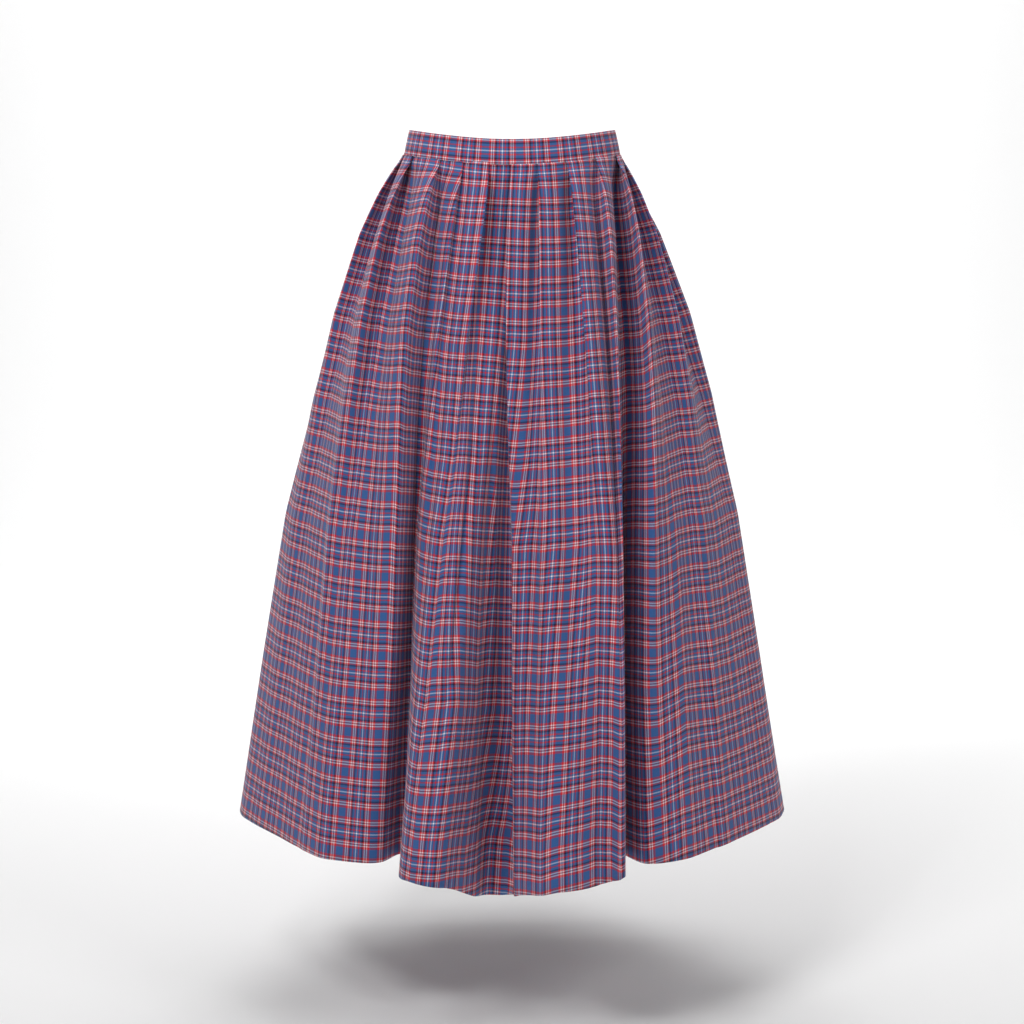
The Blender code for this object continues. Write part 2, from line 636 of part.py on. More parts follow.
def build():
    """Every piece of the skirt, in place."""
    clear_scene()
    home = bpy.data.collections.new("full_skirt")
    bpy.context.scene.collection.children.link(home)
    cloth = paint("checked_cloth", (0.105, 0.085, 0.190), 0.85)
    band = paint("waistband_cloth", (0.105, 0.085, 0.190), 0.85)
    tape = paint("zip_tape_cloth", (0.020, 0.022, 0.060), 0.80)
    metal = paint("zip_metal", (0.045, 0.050, 0.110), 0.35, 0.6)
    skirt = Skirt()
    centre_back = float(np.interp(skirt.seam_length / 2.0, skirt.seam_threads(0.0)[0], skirt.threads))
    panels = (
        ("skirt_front", SIDE_SEAM_LEFT, SIDE_SEAM_RIGHT),
        ("skirt_back_right", SIDE_SEAM_RIGHT, centre_back),
        ("skirt_back_left", centre_back, skirt.cloth + SIDE_SEAM_LEFT),
    )
    for name, start, end in panels:
        add_cloth(name, panel_grid(skirt, start, end, ROWS), WALL, cloth, home)
    add_waistband(skirt, band, home)
    line = tape_line(skirt)
    add_tape("zip_tape_left", -1.0, line, tape, home)
    add_tape("zip_tape_right", 1.0, line, tape, home)
    top, low, out = band_frame(skirt, skirt.seam_length / 2.0)
    share = SLIDER_FROM_TOP / BAND_HEIGHT
    face = top + (low - top) * share + out * BAND_WALL / 2.0
    axis = (0.0, face[1] + EYE_STAND, face[2])
    add_slider(line, axis, metal, home)
    add_pull(axis, metal, home)


build()
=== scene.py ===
"""A full checked skirt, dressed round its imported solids.

Metres, in the frame of the solids: +X to the viewer's right, -Y to the front, +Z up, and the origin at
the centre of the waist.  The cloth is laid out thread by thread: a thread is an upright yarn of the
skirt's cloth, counted in metres along the hem from the fold at the centre front.
"""

import logging
import math
from dataclasses import dataclass, field
from enum import Enum
from typing import Any, Iterable, NamedTuple, Sequence

import bpy
import numpy as np
from mathutils import Matrix, Vector


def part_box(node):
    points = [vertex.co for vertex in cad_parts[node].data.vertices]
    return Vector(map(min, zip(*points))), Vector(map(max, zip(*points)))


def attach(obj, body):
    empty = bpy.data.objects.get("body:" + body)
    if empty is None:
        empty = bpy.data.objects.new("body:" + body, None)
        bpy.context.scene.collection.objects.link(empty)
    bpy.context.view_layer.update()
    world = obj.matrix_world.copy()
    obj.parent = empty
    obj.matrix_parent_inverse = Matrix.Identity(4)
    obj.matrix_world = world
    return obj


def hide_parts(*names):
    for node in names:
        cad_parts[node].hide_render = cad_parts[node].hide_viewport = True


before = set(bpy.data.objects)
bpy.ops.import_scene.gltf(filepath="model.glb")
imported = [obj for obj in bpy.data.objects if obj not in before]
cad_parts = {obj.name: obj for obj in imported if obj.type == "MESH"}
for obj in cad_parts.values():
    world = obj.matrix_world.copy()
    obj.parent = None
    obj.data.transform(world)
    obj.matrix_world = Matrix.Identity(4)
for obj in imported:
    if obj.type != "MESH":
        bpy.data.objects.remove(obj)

log = logging.getLogger("full_skirt")
OVAL_POINTS = 2881
BELL_REACH = 3.0  # how far out a bell-shaped weight still counts, in its own widths
TINY = 1e-9
NARROWEST = 1e-6  # the narrowest jump of the check's places, in metres


class Way(Enum):
    """Which side of the centre back a part of the zip is on."""

    LEFT = -1
    RIGHT = 1


class Yarn(Enum):
    """The yarns of the check, as they look on the cloth: red, green and blue, before the eye's curve."""

    WHITE = (0.93, 0.91, 0.93)
    BLUE = (0.225, 0.380, 0.610)
    RED = (0.840, 0.170, 0.210)
    NIGHT = (0.130, 0.125, 0.225)
    WINE = (0.560, 0.240, 0.315)


class FlareRow(NamedTuple):
    """How far a height has moved from the waist seam's form to the hem's."""

    down: float
    side: float
    front: float
    waves: float  # how much of the hem's waves it has


class Pleat(NamedTuple):
    """One soft pleat: its fold at the waist seam, and where on the cloth the fold lies."""

    name: str
    seam: float  # along the waist seam from the centre front
    points: int  # +1: the fold's edge points to the right, -1: to the left
    lap: float  # how far the fold lies over its own return at the seam
    edge: float  # the thread at the fold's edge at the seam
    under: float  # the thread of the next cloth that goes in under the edge there
    edge_low: float  # the thread at the edge at the hem
    hidden_low: float  # cloth that the fold still hides there
    stand: float  # how far the edge stands out where the pleat opens
    fades: float  # how far below the seam the edge is gone
    hip: float  # sideways wander of the edge at the hip
    tuck: float  # how far the edge laps over, and the cloth under it the other way


class Turn(NamedTuple):
    """A point that the hem passes, seen from above."""

    right: float
    forward: float
    drop: float  # how much lower than at the sides the hem hangs here


class Crease(NamedTuple):
    """A soft ridge or trough in the cloth, below its pleats."""

    thread: float  # at its upper end
    thread_low: float  # at its lower end
    start: float  # down from the seam
    end: float
    rise: float  # out of the cloth, or into it where negative
    width: float


class Shift(NamedTuple):
    """How far the check's cross lines have slipped up the cloth, thread by thread, at a height."""

    down: float
    slips: tuple[tuple[float, float], ...]  # thread and slip


FLARE: tuple[FlareRow, ...] = (
    FlareRow(0.0000, 0.000, 0.000, 0.00),
    FlareRow(0.0160, 0.050, 0.027, 0.00),
    FlareRow(0.0440, 0.134, 0.080, 0.00),
    FlareRow(0.0910, 0.254, 0.155, 0.02),
    FlareRow(0.1860, 0.436, 0.290, 0.15),
    FlareRow(0.2830, 0.567, 0.405, 0.40),
    FlareRow(0.4290, 0.720, 0.570, 0.78),
    FlareRow(0.6050, 0.849, 0.755, 1.00),
    FlareRow(0.8075, 1.000, 1.000, 1.00),
)

PLEATS: tuple[Pleat, ...] = (
    Pleat("left_10", -0.3260, 1, 0.015, -1.1345, -1.0545, -1.150, 0.040, 0.008, 0.45, 0.000, 0.006),
    Pleat("left_9", -0.3000, 1, 0.015, -1.0285, -0.9485, -1.050, 0.040, 0.008, 0.55, 0.000, 0.006),
    Pleat("left_8", -0.2720, 1, 0.016, -0.9205, -0.8405, -0.870, 0.036, 0.008, 0.40, 0.000, 0.006),
    Pleat("left_7", -0.2420, 1, 0.017, -0.8105, -0.7305, -0.792, 0.036, 0.008, 0.50, 0.000, 0.006),
    Pleat("left_6", -0.2080, 1, 0.019, -0.6965, -0.6165, -0.695, 0.036, 0.008, 0.45, 0.000, 0.006),
    Pleat("left_5", -0.1720, 1, 0.019, -0.5805, -0.5005, -0.573, 0.040, 0.008, 0.40, 0.000, 0.006),
    Pleat("left_4", -0.1330, 1, 0.020, -0.4615, -0.4060, -0.468, 0.036, 0.013, 0.75, 0.003, 0.007),
    Pleat("left_3", -0.0870, 1, 0.010, -0.3575, -0.3380, -0.345, 0.060, 0.017, 1.60, 0.005, 0.012),
    Pleat("left_2", -0.0565, 1, 0.008, -0.3045, -0.2870, -0.243, 0.014, 0.007, 0.90, 0.002, 0.003),
    Pleat("left_1", -0.0265, 1, 0.013, -0.2600, -0.1580, -0.222, 0.014, 0.011, 1.00, 0.008, 0.008),
    Pleat("centre", 0.0000, -1, 0.019, -0.0270, -0.1300, 0.000, 0.040, 0.011, 1.60, 0.000, 0.006),
    Pleat("right_1", 0.0295, -1, 0.014, 0.0620, 0.0010, 0.060, 0.012, 0.007, 0.36, 0.000, 0.002),
    Pleat("right_2", 0.0640, -1, 0.017, 0.1470, 0.1030, 0.143, 0.016, 0.012, 0.80, 0.010, 0.009),
    Pleat("right_3", 0.1040, -1, 0.010, 0.2140, 0.1920, 0.176, 0.014, 0.013, 1.00, 0.006, 0.006),
    Pleat("right_4", 0.1470, -1, 0.020, 0.3370, 0.2570, 0.292, 0.040, 0.015, 1.60, 0.008, 0.012),
    Pleat("right_5", 0.1820, -1, 0.019, 0.4660, 0.3720, 0.409, 0.036, 0.008, 0.40, 0.000, 0.006),
    Pleat("right_6", 0.2150, -1, 0.019, 0.5930, 0.4990, 0.575, 0.060, 0.008, 0.45, 0.000, 0.006),
    Pleat("right_7", 0.2450, -1, 0.017, 0.7170, 0.6230, 0.634, 0.040, 0.008, 0.50, 0.000, 0.006),
    Pleat("right_8", 0.2730, -1, 0.016, 0.8390, 0.7450, 0.817, 0.040, 0.008, 0.40, 0.000, 0.006),
    Pleat("right_9", 0.3000, -1, 0.015, 0.9600, 0.8660, 0.979, 0.036, 0.008, 0.55, 0.000, 0.006),
    Pleat("right_10", 0.3260, -1, 0.015, 1.0800, 0.9860, 1.083, 0.040, 0.008, 0.50, 0.000, 0.006),
)

# Further down the soft folds have moved over on the cloth: height, and how far to their hem threads.
DRIFT: tuple[tuple[float, float], ...] = (
    (0.000, 0.00), (0.190, 0.02), (0.330, 0.25), (0.420, 0.50), (0.600, 0.78), (0.8075, 1.00),
)

HEM: tuple[Turn, ...] = tuple(Turn(*row) for row in (
    (-0.001, 0.200, 0.027), (0.008, 0.216, 0.023), (0.020, 0.236, 0.018), (0.032, 0.251, 0.015),
    (0.047, 0.263, 0.010), (0.066, 0.258, 0.011), (0.085, 0.247, 0.013), (0.102, 0.236, 0.013),
    (0.109, 0.228, 0.012), (0.118, 0.238, 0.006), (0.127, 0.251, -0.001), (0.131, 0.215, 0.000),
    (0.133, 0.152, 0.002), (0.144, 0.186, 0.000), (0.160, 0.192, 0.000), (0.183, 0.188, 0.000),
    (0.208, 0.174, 0.000), (0.247, 0.130, 0.000), (0.274, 0.100, 0.000), (0.301, 0.066, 0.000),
    (0.331, 0.024, 0.000), (0.342, -0.016, 0.000), (0.328, -0.062, 0.000), (0.290, -0.090, 0.000),
    (0.257, -0.105, 0.000), (0.246, -0.150, 0.000), (0.250, -0.196, 0.000), (0.214, -0.228, 0.000),
    (0.168, -0.226, 0.000), (0.130, -0.216, 0.000), (0.108, -0.246, 0.000), (0.074, -0.286, 0.000),
    (0.030, -0.292, 0.000), (-0.012, -0.280, 0.000), (-0.052, -0.266, 0.000), (-0.090, -0.276, 0.000),
    (-0.130, -0.276, 0.000), (-0.160, -0.244, 0.000), (-0.172, -0.198, 0.000), (-0.206, -0.190, 0.000),
    (-0.252, -0.196, 0.000), (-0.278, -0.160, 0.000), (-0.276, -0.112, 0.000), (-0.304, -0.082, 0.000),
    (-0.334, -0.052, 0.000), (-0.341, -0.012, 0.000), (-0.334, 0.020, 0.000), (-0.307, 0.059, 0.000),
    (-0.279, 0.097, 0.000), (-0.250, 0.141, 0.000), (-0.224, 0.174, 0.000), (-0.188, 0.189, 0.000),
    (-0.161, 0.190, 0.000), (-0.143, 0.181, 0.000), (-0.135, 0.150, 0.002), (-0.129, 0.195, 0.000),
    (-0.129, 0.240, 0.000), (-0.121, 0.257, -0.002), (-0.105, 0.269, -0.001), (-0.089, 0.272, 0.001),
    (-0.076, 0.258, 0.006), (-0.066, 0.238, 0.012), (-0.057, 0.220, 0.019), (-0.049, 0.202, 0.025),
    (-0.038, 0.183, 0.032), (-0.027, 0.168, 0.036), (-0.016, 0.163, 0.038), (-0.006, 0.170, 0.036),
    (0.009, 0.180, 0.034), (0.009, 0.190, 0.031),
))

CREASES: tuple[Crease, ...] = (
    Crease(-0.470, -0.450, 0.26, 0.86, 0.0040, 0.010),
    Crease(-0.490, -0.475, 0.24, 0.84, -0.0035, 0.012),
    Crease(-0.395, -0.400, 0.30, 0.84, -0.0040, 0.012),
    Crease(-0.264, -0.230, 0.14, 0.82, 0.0050, 0.007),
    Crease(-0.148, -0.198, 0.14, 0.80, -0.0070, 0.009),
    Crease(-0.325, -0.285, 0.06, 1.10, -0.0080, 0.008),
    Crease(-0.018, 0.005, 0.20, 1.10, 0.0030, 0.007),
    Crease(-0.125, -0.050, 0.12, 1.00, -0.0045, 0.009),
    Crease(0.068, 0.066, 0.12, 0.36, 0.0022, 0.007),
    Crease(0.092, 0.106, 0.12, 0.62, -0.0064, 0.009),
    Crease(0.155, 0.151, 0.12, 0.64, 0.0048, 0.007),
    Crease(0.240, 0.212, 0.10, 1.20, -0.0060, 0.014),
    Crease(0.298, 0.292, 0.22, 0.80, 0.0030, 0.010),
    Crease(0.385, 0.392, 0.16, 0.52, -0.0038, 0.011),
    Crease(0.430, 0.424, 0.30, 0.92, 0.0030, 0.014),
    Crease(0.520, 0.530, 0.34, 0.88, -0.0030, 0.012),
    Crease(-0.620, -0.612, 0.30, 0.84, -0.0034, 0.013),
    Crease(-0.700, -0.712, 0.22, 0.66, 0.0028, 0.010),
    Crease(-0.842, -0.828, 0.34, 0.90, -0.0036, 0.014),
    Crease(-0.960, -0.968, 0.26, 0.72, 0.0026, 0.011),
    Crease(0.690, 0.700, 0.20, 0.62, 0.0028, 0.010),
    Crease(0.775, 0.764, 0.36, 0.90, -0.0036, 0.013),
    Crease(0.905, 0.896, 0.24, 0.58, -0.0030, 0.010),
    Crease(1.010, 1.022, 0.32, 0.86, 0.0030, 0.012),
)

SHIFTS: tuple[Shift, ...] = (
    Shift(0.00, ((-0.60, 0.0), (-0.37, 0.004), (-0.26, 0.0), (0.0, -0.001), (0.16, -0.001),
                 (0.30, -0.007), (0.60, 0.0))),
    Shift(0.19, ((-0.60, 0.0), (-0.45, -0.002), (-0.30, 0.001), (-0.26, -0.001), (-0.15, 0.0045),
                 (-0.02, 0.005), (0.0, 0.0025), (0.08, 0.0), (0.17, -0.001), (0.21, -0.004),
                 (0.26, -0.011), (0.32, -0.011), (0.34, -0.002), (0.60, 0.0))),
    Shift(0.33, ((-0.60, 0.0), (-0.43, -0.001), (-0.36, 0.002), (-0.26, -0.002), (-0.18, 0.003),
                 (-0.14, 0.004), (-0.11, 0.009), (-0.05, 0.012), (0.0, 0.003), (0.06, 0.0),
                 (0.15, -0.002), (0.21, -0.009), (0.34, -0.001), (0.42, 0.002), (0.60, 0.0))),
    Shift(0.51, ((-0.60, 0.0), (-0.45, -0.004), (-0.35, -0.001), (-0.257, -0.010), (-0.23, -0.007),
                 (-0.19, -0.001), (-0.155, 0.001), (-0.11, 0.0045), (-0.08, 0.012), (-0.045, 0.012),
                 (0.01, 0.001), (0.06, -0.003), (0.10, -0.0055), (0.135, -0.002), (0.16, -0.007),
                 (0.18, -0.013), (0.29, 0.0), (0.326, -0.003), (0.38, 0.0055), (0.44, 0.002),
                 (0.60, 0.0))),
    Shift(0.64, ((-0.60, 0.0), (-0.45, -0.003), (-0.35, -0.001), (-0.225, -0.013), (-0.197, -0.007),
                 (-0.175, -0.003), (-0.14, 0.001), (-0.096, 0.011), (-0.065, 0.0145), (-0.04, 0.0135),
                 (0.01, 0.001), (0.05, -0.001), (0.09, -0.0035), (0.14, -0.002), (0.158, -0.007),
                 (0.175, -0.0145), (0.29, -0.002), (0.322, -0.002), (0.366, 0.009), (0.42, 0.003),
                 (0.60, 0.0))),
    Shift(0.76, ((-0.60, 0.0), (-0.45, -0.005), (-0.34, -0.008), (-0.21, -0.021), (-0.18, -0.017),
                 (-0.16, -0.014), (-0.12, -0.006), (-0.085, 0.005), (-0.06, 0.010), (-0.04, 0.008),
                 (0.01, -0.005), (0.06, -0.009), (0.10, -0.0045), (0.13, -0.002), (0.153, -0.008),
                 (0.17, -0.016), (0.30, -0.008), (0.355, 0.003), (0.47, 0.003), (0.60, 0.0))),
)

# How much lower than the form the front's hem hangs: thread and drop.
HEM_DROOP: tuple[tuple[float, float], ...] = (
    (-0.16, 0.0), (-0.13, 0.004), (-0.09, 0.011), (-0.045, 0.012), (-0.02, 0.010), (0.02, 0.0055),
    (0.06, 0.003), (0.085, 0.0), (0.14, -0.003), (0.17, 0.0),
)

# Where the front's check stays put in each cloth that shows, left to right: heights, threads and places.
ANCHORS: tuple[tuple[tuple[float, float, float], ...], ...] = (
    ((0.0, -0.3875, -0.3875), (0.81, -0.3875, -0.3875)),
    ((0.0, -0.2735, -0.2255), (0.20, -0.2720, -0.2255), (0.40, -0.2520, -0.2255),
     (0.60, -0.2360, -0.2255), (0.81, -0.2255, -0.2255)),
    ((0.0, -0.1445, -0.1485), (0.19, -0.1390, -0.1445), (0.42, -0.1300, -0.1445),
     (0.60, -0.1240, -0.1445), (0.76, -0.1460, -0.1445), (0.81, -0.1480, -0.1445)),
    ((0.0, -0.0130, -0.0185), (0.19, -0.0100, -0.0155), (0.32, 0.0050, 0.0020), (0.42, 0.0175, 0.0175),
     (0.81, 0.0175, 0.0175)),
    ((0.0, 0.0790, 0.0660), (0.19, 0.0790, 0.0655), (0.42, 0.0900, 0.0670), (0.62, 0.0950, 0.0860),
     (0.76, 0.0985, 0.0985), (0.81, 0.0985, 0.0985)),
    ((0.0, 0.1680, 0.1520), (0.19, 0.1680, 0.1510), (0.45, 0.1600, 0.1430), (0.62, 0.1590, 0.1550),
     (0.76, 0.1560, 0.1560), (0.81, 0.1560, 0.1560)),
    ((0.0, 0.2350, 0.2350), (0.40, 0.2250, 0.2250), (0.81, 0.2150, 0.2150)),
    ((0.0, 0.3550, 0.3550), (0.81, 0.3550, 0.3550)),
)
SHOWN: tuple[str, ...] = ("left_3", "left_2", "left_1", "centre", "right_1", "right_2", "right_3",
                          "right_4")

# Pleats whose hidden cloth has all come out by a height below the seam: the check runs on over them there.
OPENED: dict[str, float] = {"right_1": 0.38, "right_2": 0.70, "left_1": 0.85, "left_2": 0.40, "left_4": 0.60}


def smooth_step(value: Any) -> Any:
    """0 to 1 with level ends.

    Args:
        value: A number or an array, of any size.

    Returns:
        The same, eased and held between 0 and 1.
    """
    value = np.clip(value, 0.0, 1.0)
    return value * value * (3.0 - 2.0 * value)


def soften(values: np.ndarray, reach: float, step: float) -> np.ndarray:
    """A closed ring's values, softened over a distance with a bell-shaped weight.

    Args:
        values: A row for each point of the ring.
        reach: The bell's width, in metres.
        step: The distance between two points, in metres.

    Returns:
        The softened rows.
    """
    if reach < step:
        return values
    count = len(values)
    half = int(BELL_REACH * reach / step) + 1
    offsets = np.arange(-half, half + 1)
    weight = np.exp(-0.5 * (offsets * step / reach) ** 2)
    weight /= weight.sum()
    padded = np.take(values, np.arange(-half, count + half) % count, axis=0)
    return np.stack([np.convolve(column, weight, mode="valid") for column in padded.T], axis=1)


def lengths_along(points: np.ndarray) -> np.ndarray:
    """How far along an open line each of its points is."""
    steps = np.linalg.norm(np.diff(points, axis=0), axis=1)
    return np.concatenate([[0.0], np.cumsum(steps)])


def lengths_round(points: np.ndarray) -> np.ndarray:
    """How far along a closed line each of its points is, with its whole length at the end."""
    return lengths_along(np.vstack([points, points[:1]]))


def rows_at(places: Any, along: np.ndarray, rows: np.ndarray) -> np.ndarray:
    """Rows read off at places between them, column by column.

    Args:
        places: The places, or one place.
        along: The place of each row, in order.
        rows: The rows.

    Returns:
        A row for each place.
    """
    return np.stack([np.interp(places, along, column) for column in rows.T], axis=-1)


def wrapped(places: Any, whole: float) -> Any:
    """Places on a ring of a whole length, counted both ways from its start to its far side."""
    return (places + whole / 2.0) % whole - whole / 2.0


def oval(half_width: float, half_depth: float) -> tuple[np.ndarray, np.ndarray]:
    """An oval from the centre back round by the left, the front and the right.

    Args:
        half_width: Along X.
        half_depth: Along Y.

    Returns:
        Places along it, 0 at the centre front, and its points (right, forward).
    """
    angle = np.linspace(-math.pi, math.pi, OVAL_POINTS)
    points = np.stack([half_width * np.sin(angle), half_depth * np.cos(angle)], axis=1)
    along = lengths_along(points)
    return along - along[-1] / 2.0, points


@dataclass
class SkirtForm:
    """The skirt's middle surface, thread by thread: where each thread is at each height."""

    waist_half_width: float = 0.1200
    waist_half_depth: float = 0.0910
    seam_half_width: float = 0.1275
    seam_half_depth: float = 0.0970
    band_height: float = 0.0290
    band_top: float = 0.0200
    band_inset: float = 0.0010
    front_dip: float = 0.0100
    back_dip: float = 0.0125
    length: float = 0.8075
    wall: float = 0.0011
    seam_gap: float = 0.0003
    pleat_layer: float = 0.0017
    fold_reach: float = 0.0009
    pleat_turn: float = 0.0022
    turns_taken: float = 2.5  # how many turns' room a fold takes up by itself
    cloth_step: float = 0.0005
    hem_rounding: float = 0.0060
    fold_rounding: float = 0.0045
    side_from: float = 0.030
    side_to: float = 0.100
    wave_reach: float = 0.045
    hip_peak: float = 0.6
    crease_reach: float = 0.040
    crease_knee: float = 0.015
    crease: tuple[float, ...] = (0.0, 0.5, 1.0, -1.0, -1.0, -0.5, 0.0)
    tuck: tuple[float, ...] = (0.0, 0.6, 1.0, 0.0, -1.0, -0.6, 0.0)
    tuck_share: float = 0.35
    lap_spare: float = 0.0025
    flat_share: float = 0.75
    opens_below: float = 0.006
    opens_over: float = 0.030
    shown_margin: float = 0.010
    soft_down: tuple[float, ...] = (0.0, 0.05, 0.50, 1.0)
    soft_share: tuple[float, ...] = (0.0, 0.25, 0.80, 1.0)
    seam_along: np.ndarray = field(init=False)
    seam_points: np.ndarray = field(init=False)
    seam_length: float = field(init=False)
    hem_points: np.ndarray = field(init=False)
    smooth_hem: np.ndarray = field(init=False)
    cloth: float = field(init=False)
    threads: np.ndarray = field(init=False)

    def __post_init__(self) -> None:
        """Works out the seam's oval and the hem's ring."""
        self.seam_along, self.seam_points = oval(self.seam_half_width, self.seam_half_depth)
        self.seam_length = self.seam_along[-1] * 2.0
        self.hem_points = self.hem_ring()
        self.smooth_hem = soften(self.hem_points, self.wave_reach, self.cloth_step)
        self.cloth = len(self.hem_points) * self.cloth_step
        self.threads = np.arange(len(self.hem_points)) * self.cloth_step

    def hem_ring(self) -> np.ndarray:
        """The hem from above, one row for each thread: right, forward, drop."""
        turns = np.array([(row.right, row.forward, row.drop) for row in HEM])
        return self.spaced(soften(self.spaced(turns), self.hem_rounding, self.cloth_step))

    def spaced(self, points: np.ndarray) -> np.ndarray:
        """A closed ring's points, spaced evenly by the cloth's step."""
        ring = np.vstack([points, points[:1]])
        along = lengths_along(ring[:, :2])
        count = int(round(along[-1] / self.cloth_step))
        even = np.arange(count) * along[-1] / count
        return rows_at(even, along, ring)

    def folds(self, down: float) -> list[tuple[float, float, float]]:
        """Each pleat at a height: the threads of its edge and of the cloth under it, and its lap."""
        downs, shares = np.array(DRIFT).T
        drift = float(np.interp(down, downs, shares))
        rows = []
        for pleat in PLEATS:
            edge = pleat.edge + (pleat.edge_low - pleat.edge) * drift
            under_low = pleat.edge_low + pleat.points * pleat.hidden_low
            under = pleat.under + (under_low - pleat.under) * drift
            room = abs(under - edge) / 2.0 - self.turns_taken * self.pleat_turn
            rows.append((edge, under, min(pleat.lap, max(room, self.pleat_turn))))
        return rows

    def keys(self, down: float) -> np.ndarray:
        """The cloth's path at the waist seam with the folds of a height.

        Args:
            down: The height, down from the seam.

        Returns:
            Rows of thread, place along the seam and layer, in order round the skirt.
        """
        folds = self.folds(down)
        turn, reach = self.pleat_turn, self.fold_reach
        rows = []
        for index, (pleat, (edge, under, lap)) in enumerate(zip(PLEATS, folds)):
            side = pleat.points
            behind = (index - side) % len(PLEATS)
            shown = (pleat.seam - PLEATS[behind].seam) * side % self.seam_length
            start = folds[behind][1] if PLEATS[behind].points == side else folds[behind][0]
            thread_shown = (edge - start) * side % self.cloth
            flat = min(lap + self.lap_spare, shown * self.flat_share)
            root = (edge + under) / 2.0
            inner = pleat.seam - side * lap
            fold = [
                (edge - side * thread_shown * flat / shown, pleat.seam - side * flat, 1.0),
                (edge - side * turn, pleat.seam - side * reach, 1.0),
                (edge, pleat.seam, 0.5),
                (edge + side * turn, pleat.seam - side * reach, 0.0),
                (root - side * turn, inner + side * reach, 0.0),
                (root, inner, -0.5),
                (root + side * turn, inner + side * reach, -1.0),
                (under, pleat.seam + side * reach, -1.0),
            ]
            rows += fold[::side]
        return np.array(rows)

    def seam_threads(self, down: float) -> np.ndarray:
        """Each thread's place along the waist seam and its layer there."""
        keys = self.keys(down)
        round_once = np.array([self.cloth, self.seam_length, 0.0])
        keys = np.vstack([keys, keys + round_once])
        return rows_at(self.threads, keys[:, 0], keys[:, 1:]).T

    def from_edge(self, pleat: Pleat, edge: float) -> np.ndarray:
        """How far under a pleat's edge each thread is, the way the edge points."""
        return wrapped((self.threads - edge) * pleat.points, self.cloth)

    def lifts(self, down: float) -> tuple[np.ndarray, np.ndarray]:
        """How far the pleats' edges stand out at a height, and how far they wander sideways."""
        lift = np.zeros(len(self.threads))
        turn = np.zeros(len(self.threads))
        opened = 1.0 - math.exp(-max(down - self.opens_below, 0.0) / self.opens_over)
        knee, reach = self.crease_knee, self.crease_reach
        for pleat, (edge, under, _) in zip(PLEATS, self.folds(down)):
            away = self.from_edge(pleat, edge)
            hidden = abs(under - edge)
            half = hidden / 2.0
            knots = (-reach, -knee, 0.0, half, hidden, hidden + knee, hidden + reach)
            left = 1.0 - float(smooth_step(down / pleat.fades))
            lift += np.interp(away, knots, self.crease) * pleat.stand * opened * left
            near = 1.0 - smooth_step(np.abs(away - half) / (reach + half))
            turn += near * pleat.hip * math.sin(math.pi * (down / self.length) ** self.hip_peak)
            tuck = min(pleat.tuck, hidden * self.tuck_share) * opened * left
            tuck *= 1.0 - (down / self.length) ** 2
            turn += np.interp(away, knots, self.tuck) * pleat.points * tuck
        return lift, turn

    def shown(self, down: float) -> np.ndarray:
        """1 for threads that lie open at a height, 0 for those that a pleat covers."""
        share = np.ones(len(self.threads))
        for pleat, (edge, under, _) in zip(PLEATS, self.folds(down)):
            away = self.from_edge(pleat, edge)
            hidden = abs(under - edge)
            outside = np.maximum(-away, away - hidden)
            share = np.minimum(share, smooth_step(outside / self.shown_margin))
        return share

    def seam_plan(self, place: np.ndarray, layer: np.ndarray) -> np.ndarray:
        """Points on the waist seam's oval, moved out by their layer."""
        plan = rows_at(place, self.seam_along, self.seam_points)
        slope = plan / np.array([self.seam_half_width**2, self.seam_half_depth**2])
        normal = slope / np.linalg.norm(slope, axis=1, keepdims=True)
        return plan + normal * (layer * self.pleat_layer)[:, None]

    def dip(self, place: Any) -> Any:
        """How much lower than at the sides the waist runs at a place along it."""
        level = np.cos(np.asarray(place) * 2.0 * math.pi / self.seam_length)
        return np.where(level > 0.0, self.front_dip, self.back_dip) * level**2

    def flare(self, down: float, place: np.ndarray) -> tuple[np.ndarray, float]:
        """How far each thread has moved to the hem's form, and the share of the hem's waves."""
        downs, side, front, waves = np.array(FLARE).T
        weight = smooth_step((np.abs(place) - self.side_from) / (self.side_to - self.side_from))
        ahead, beside = np.interp(down, downs, front), np.interp(down, downs, side)
        return ahead * (1.0 - weight) + beside * weight, float(np.interp(down, downs, waves))

    def ring(self, down: float) -> np.ndarray:
        """The whole ring at a height below the seam, one point (x, y, z) for each thread."""
        share = down / self.length
        place, layer = self.seam_threads(down)
        place = wrapped(place, self.seam_length)
        moved, waves = self.flare(down, place)
        hem = self.smooth_hem[:, :2] * (1.0 - waves) + self.hem_points[:, :2] * waves
        plan = self.seam_plan(place, layer) * (1.0 - moved)[:, None] + hem * moved[:, None]
        radius = np.linalg.norm(plan, axis=1, keepdims=True)
        lift, turn = self.lifts(down)
        plan = plan * (1.0 + lift[:, None] / radius)
        angle = turn[:, None] / radius
        sideways = np.stack([plan[:, 1], -plan[:, 0]], axis=1)
        plan = plan * np.cos(angle) + sideways * np.sin(angle)
        softened = float(np.interp(share, self.soft_down, self.soft_share))
        plan = soften(plan, self.fold_rounding * softened, self.cloth_step)
        top = self.band_top - self.band_height - self.seam_gap - self.wall / 2.0 - self.dip(place)
        bottom = self.band_top - self.band_height - self.length - self.hem_points[:, 2]
        height = top * (1.0 - share) + bottom * share
        return np.stack([plan[:, 0], -plan[:, 1], height], axis=1)

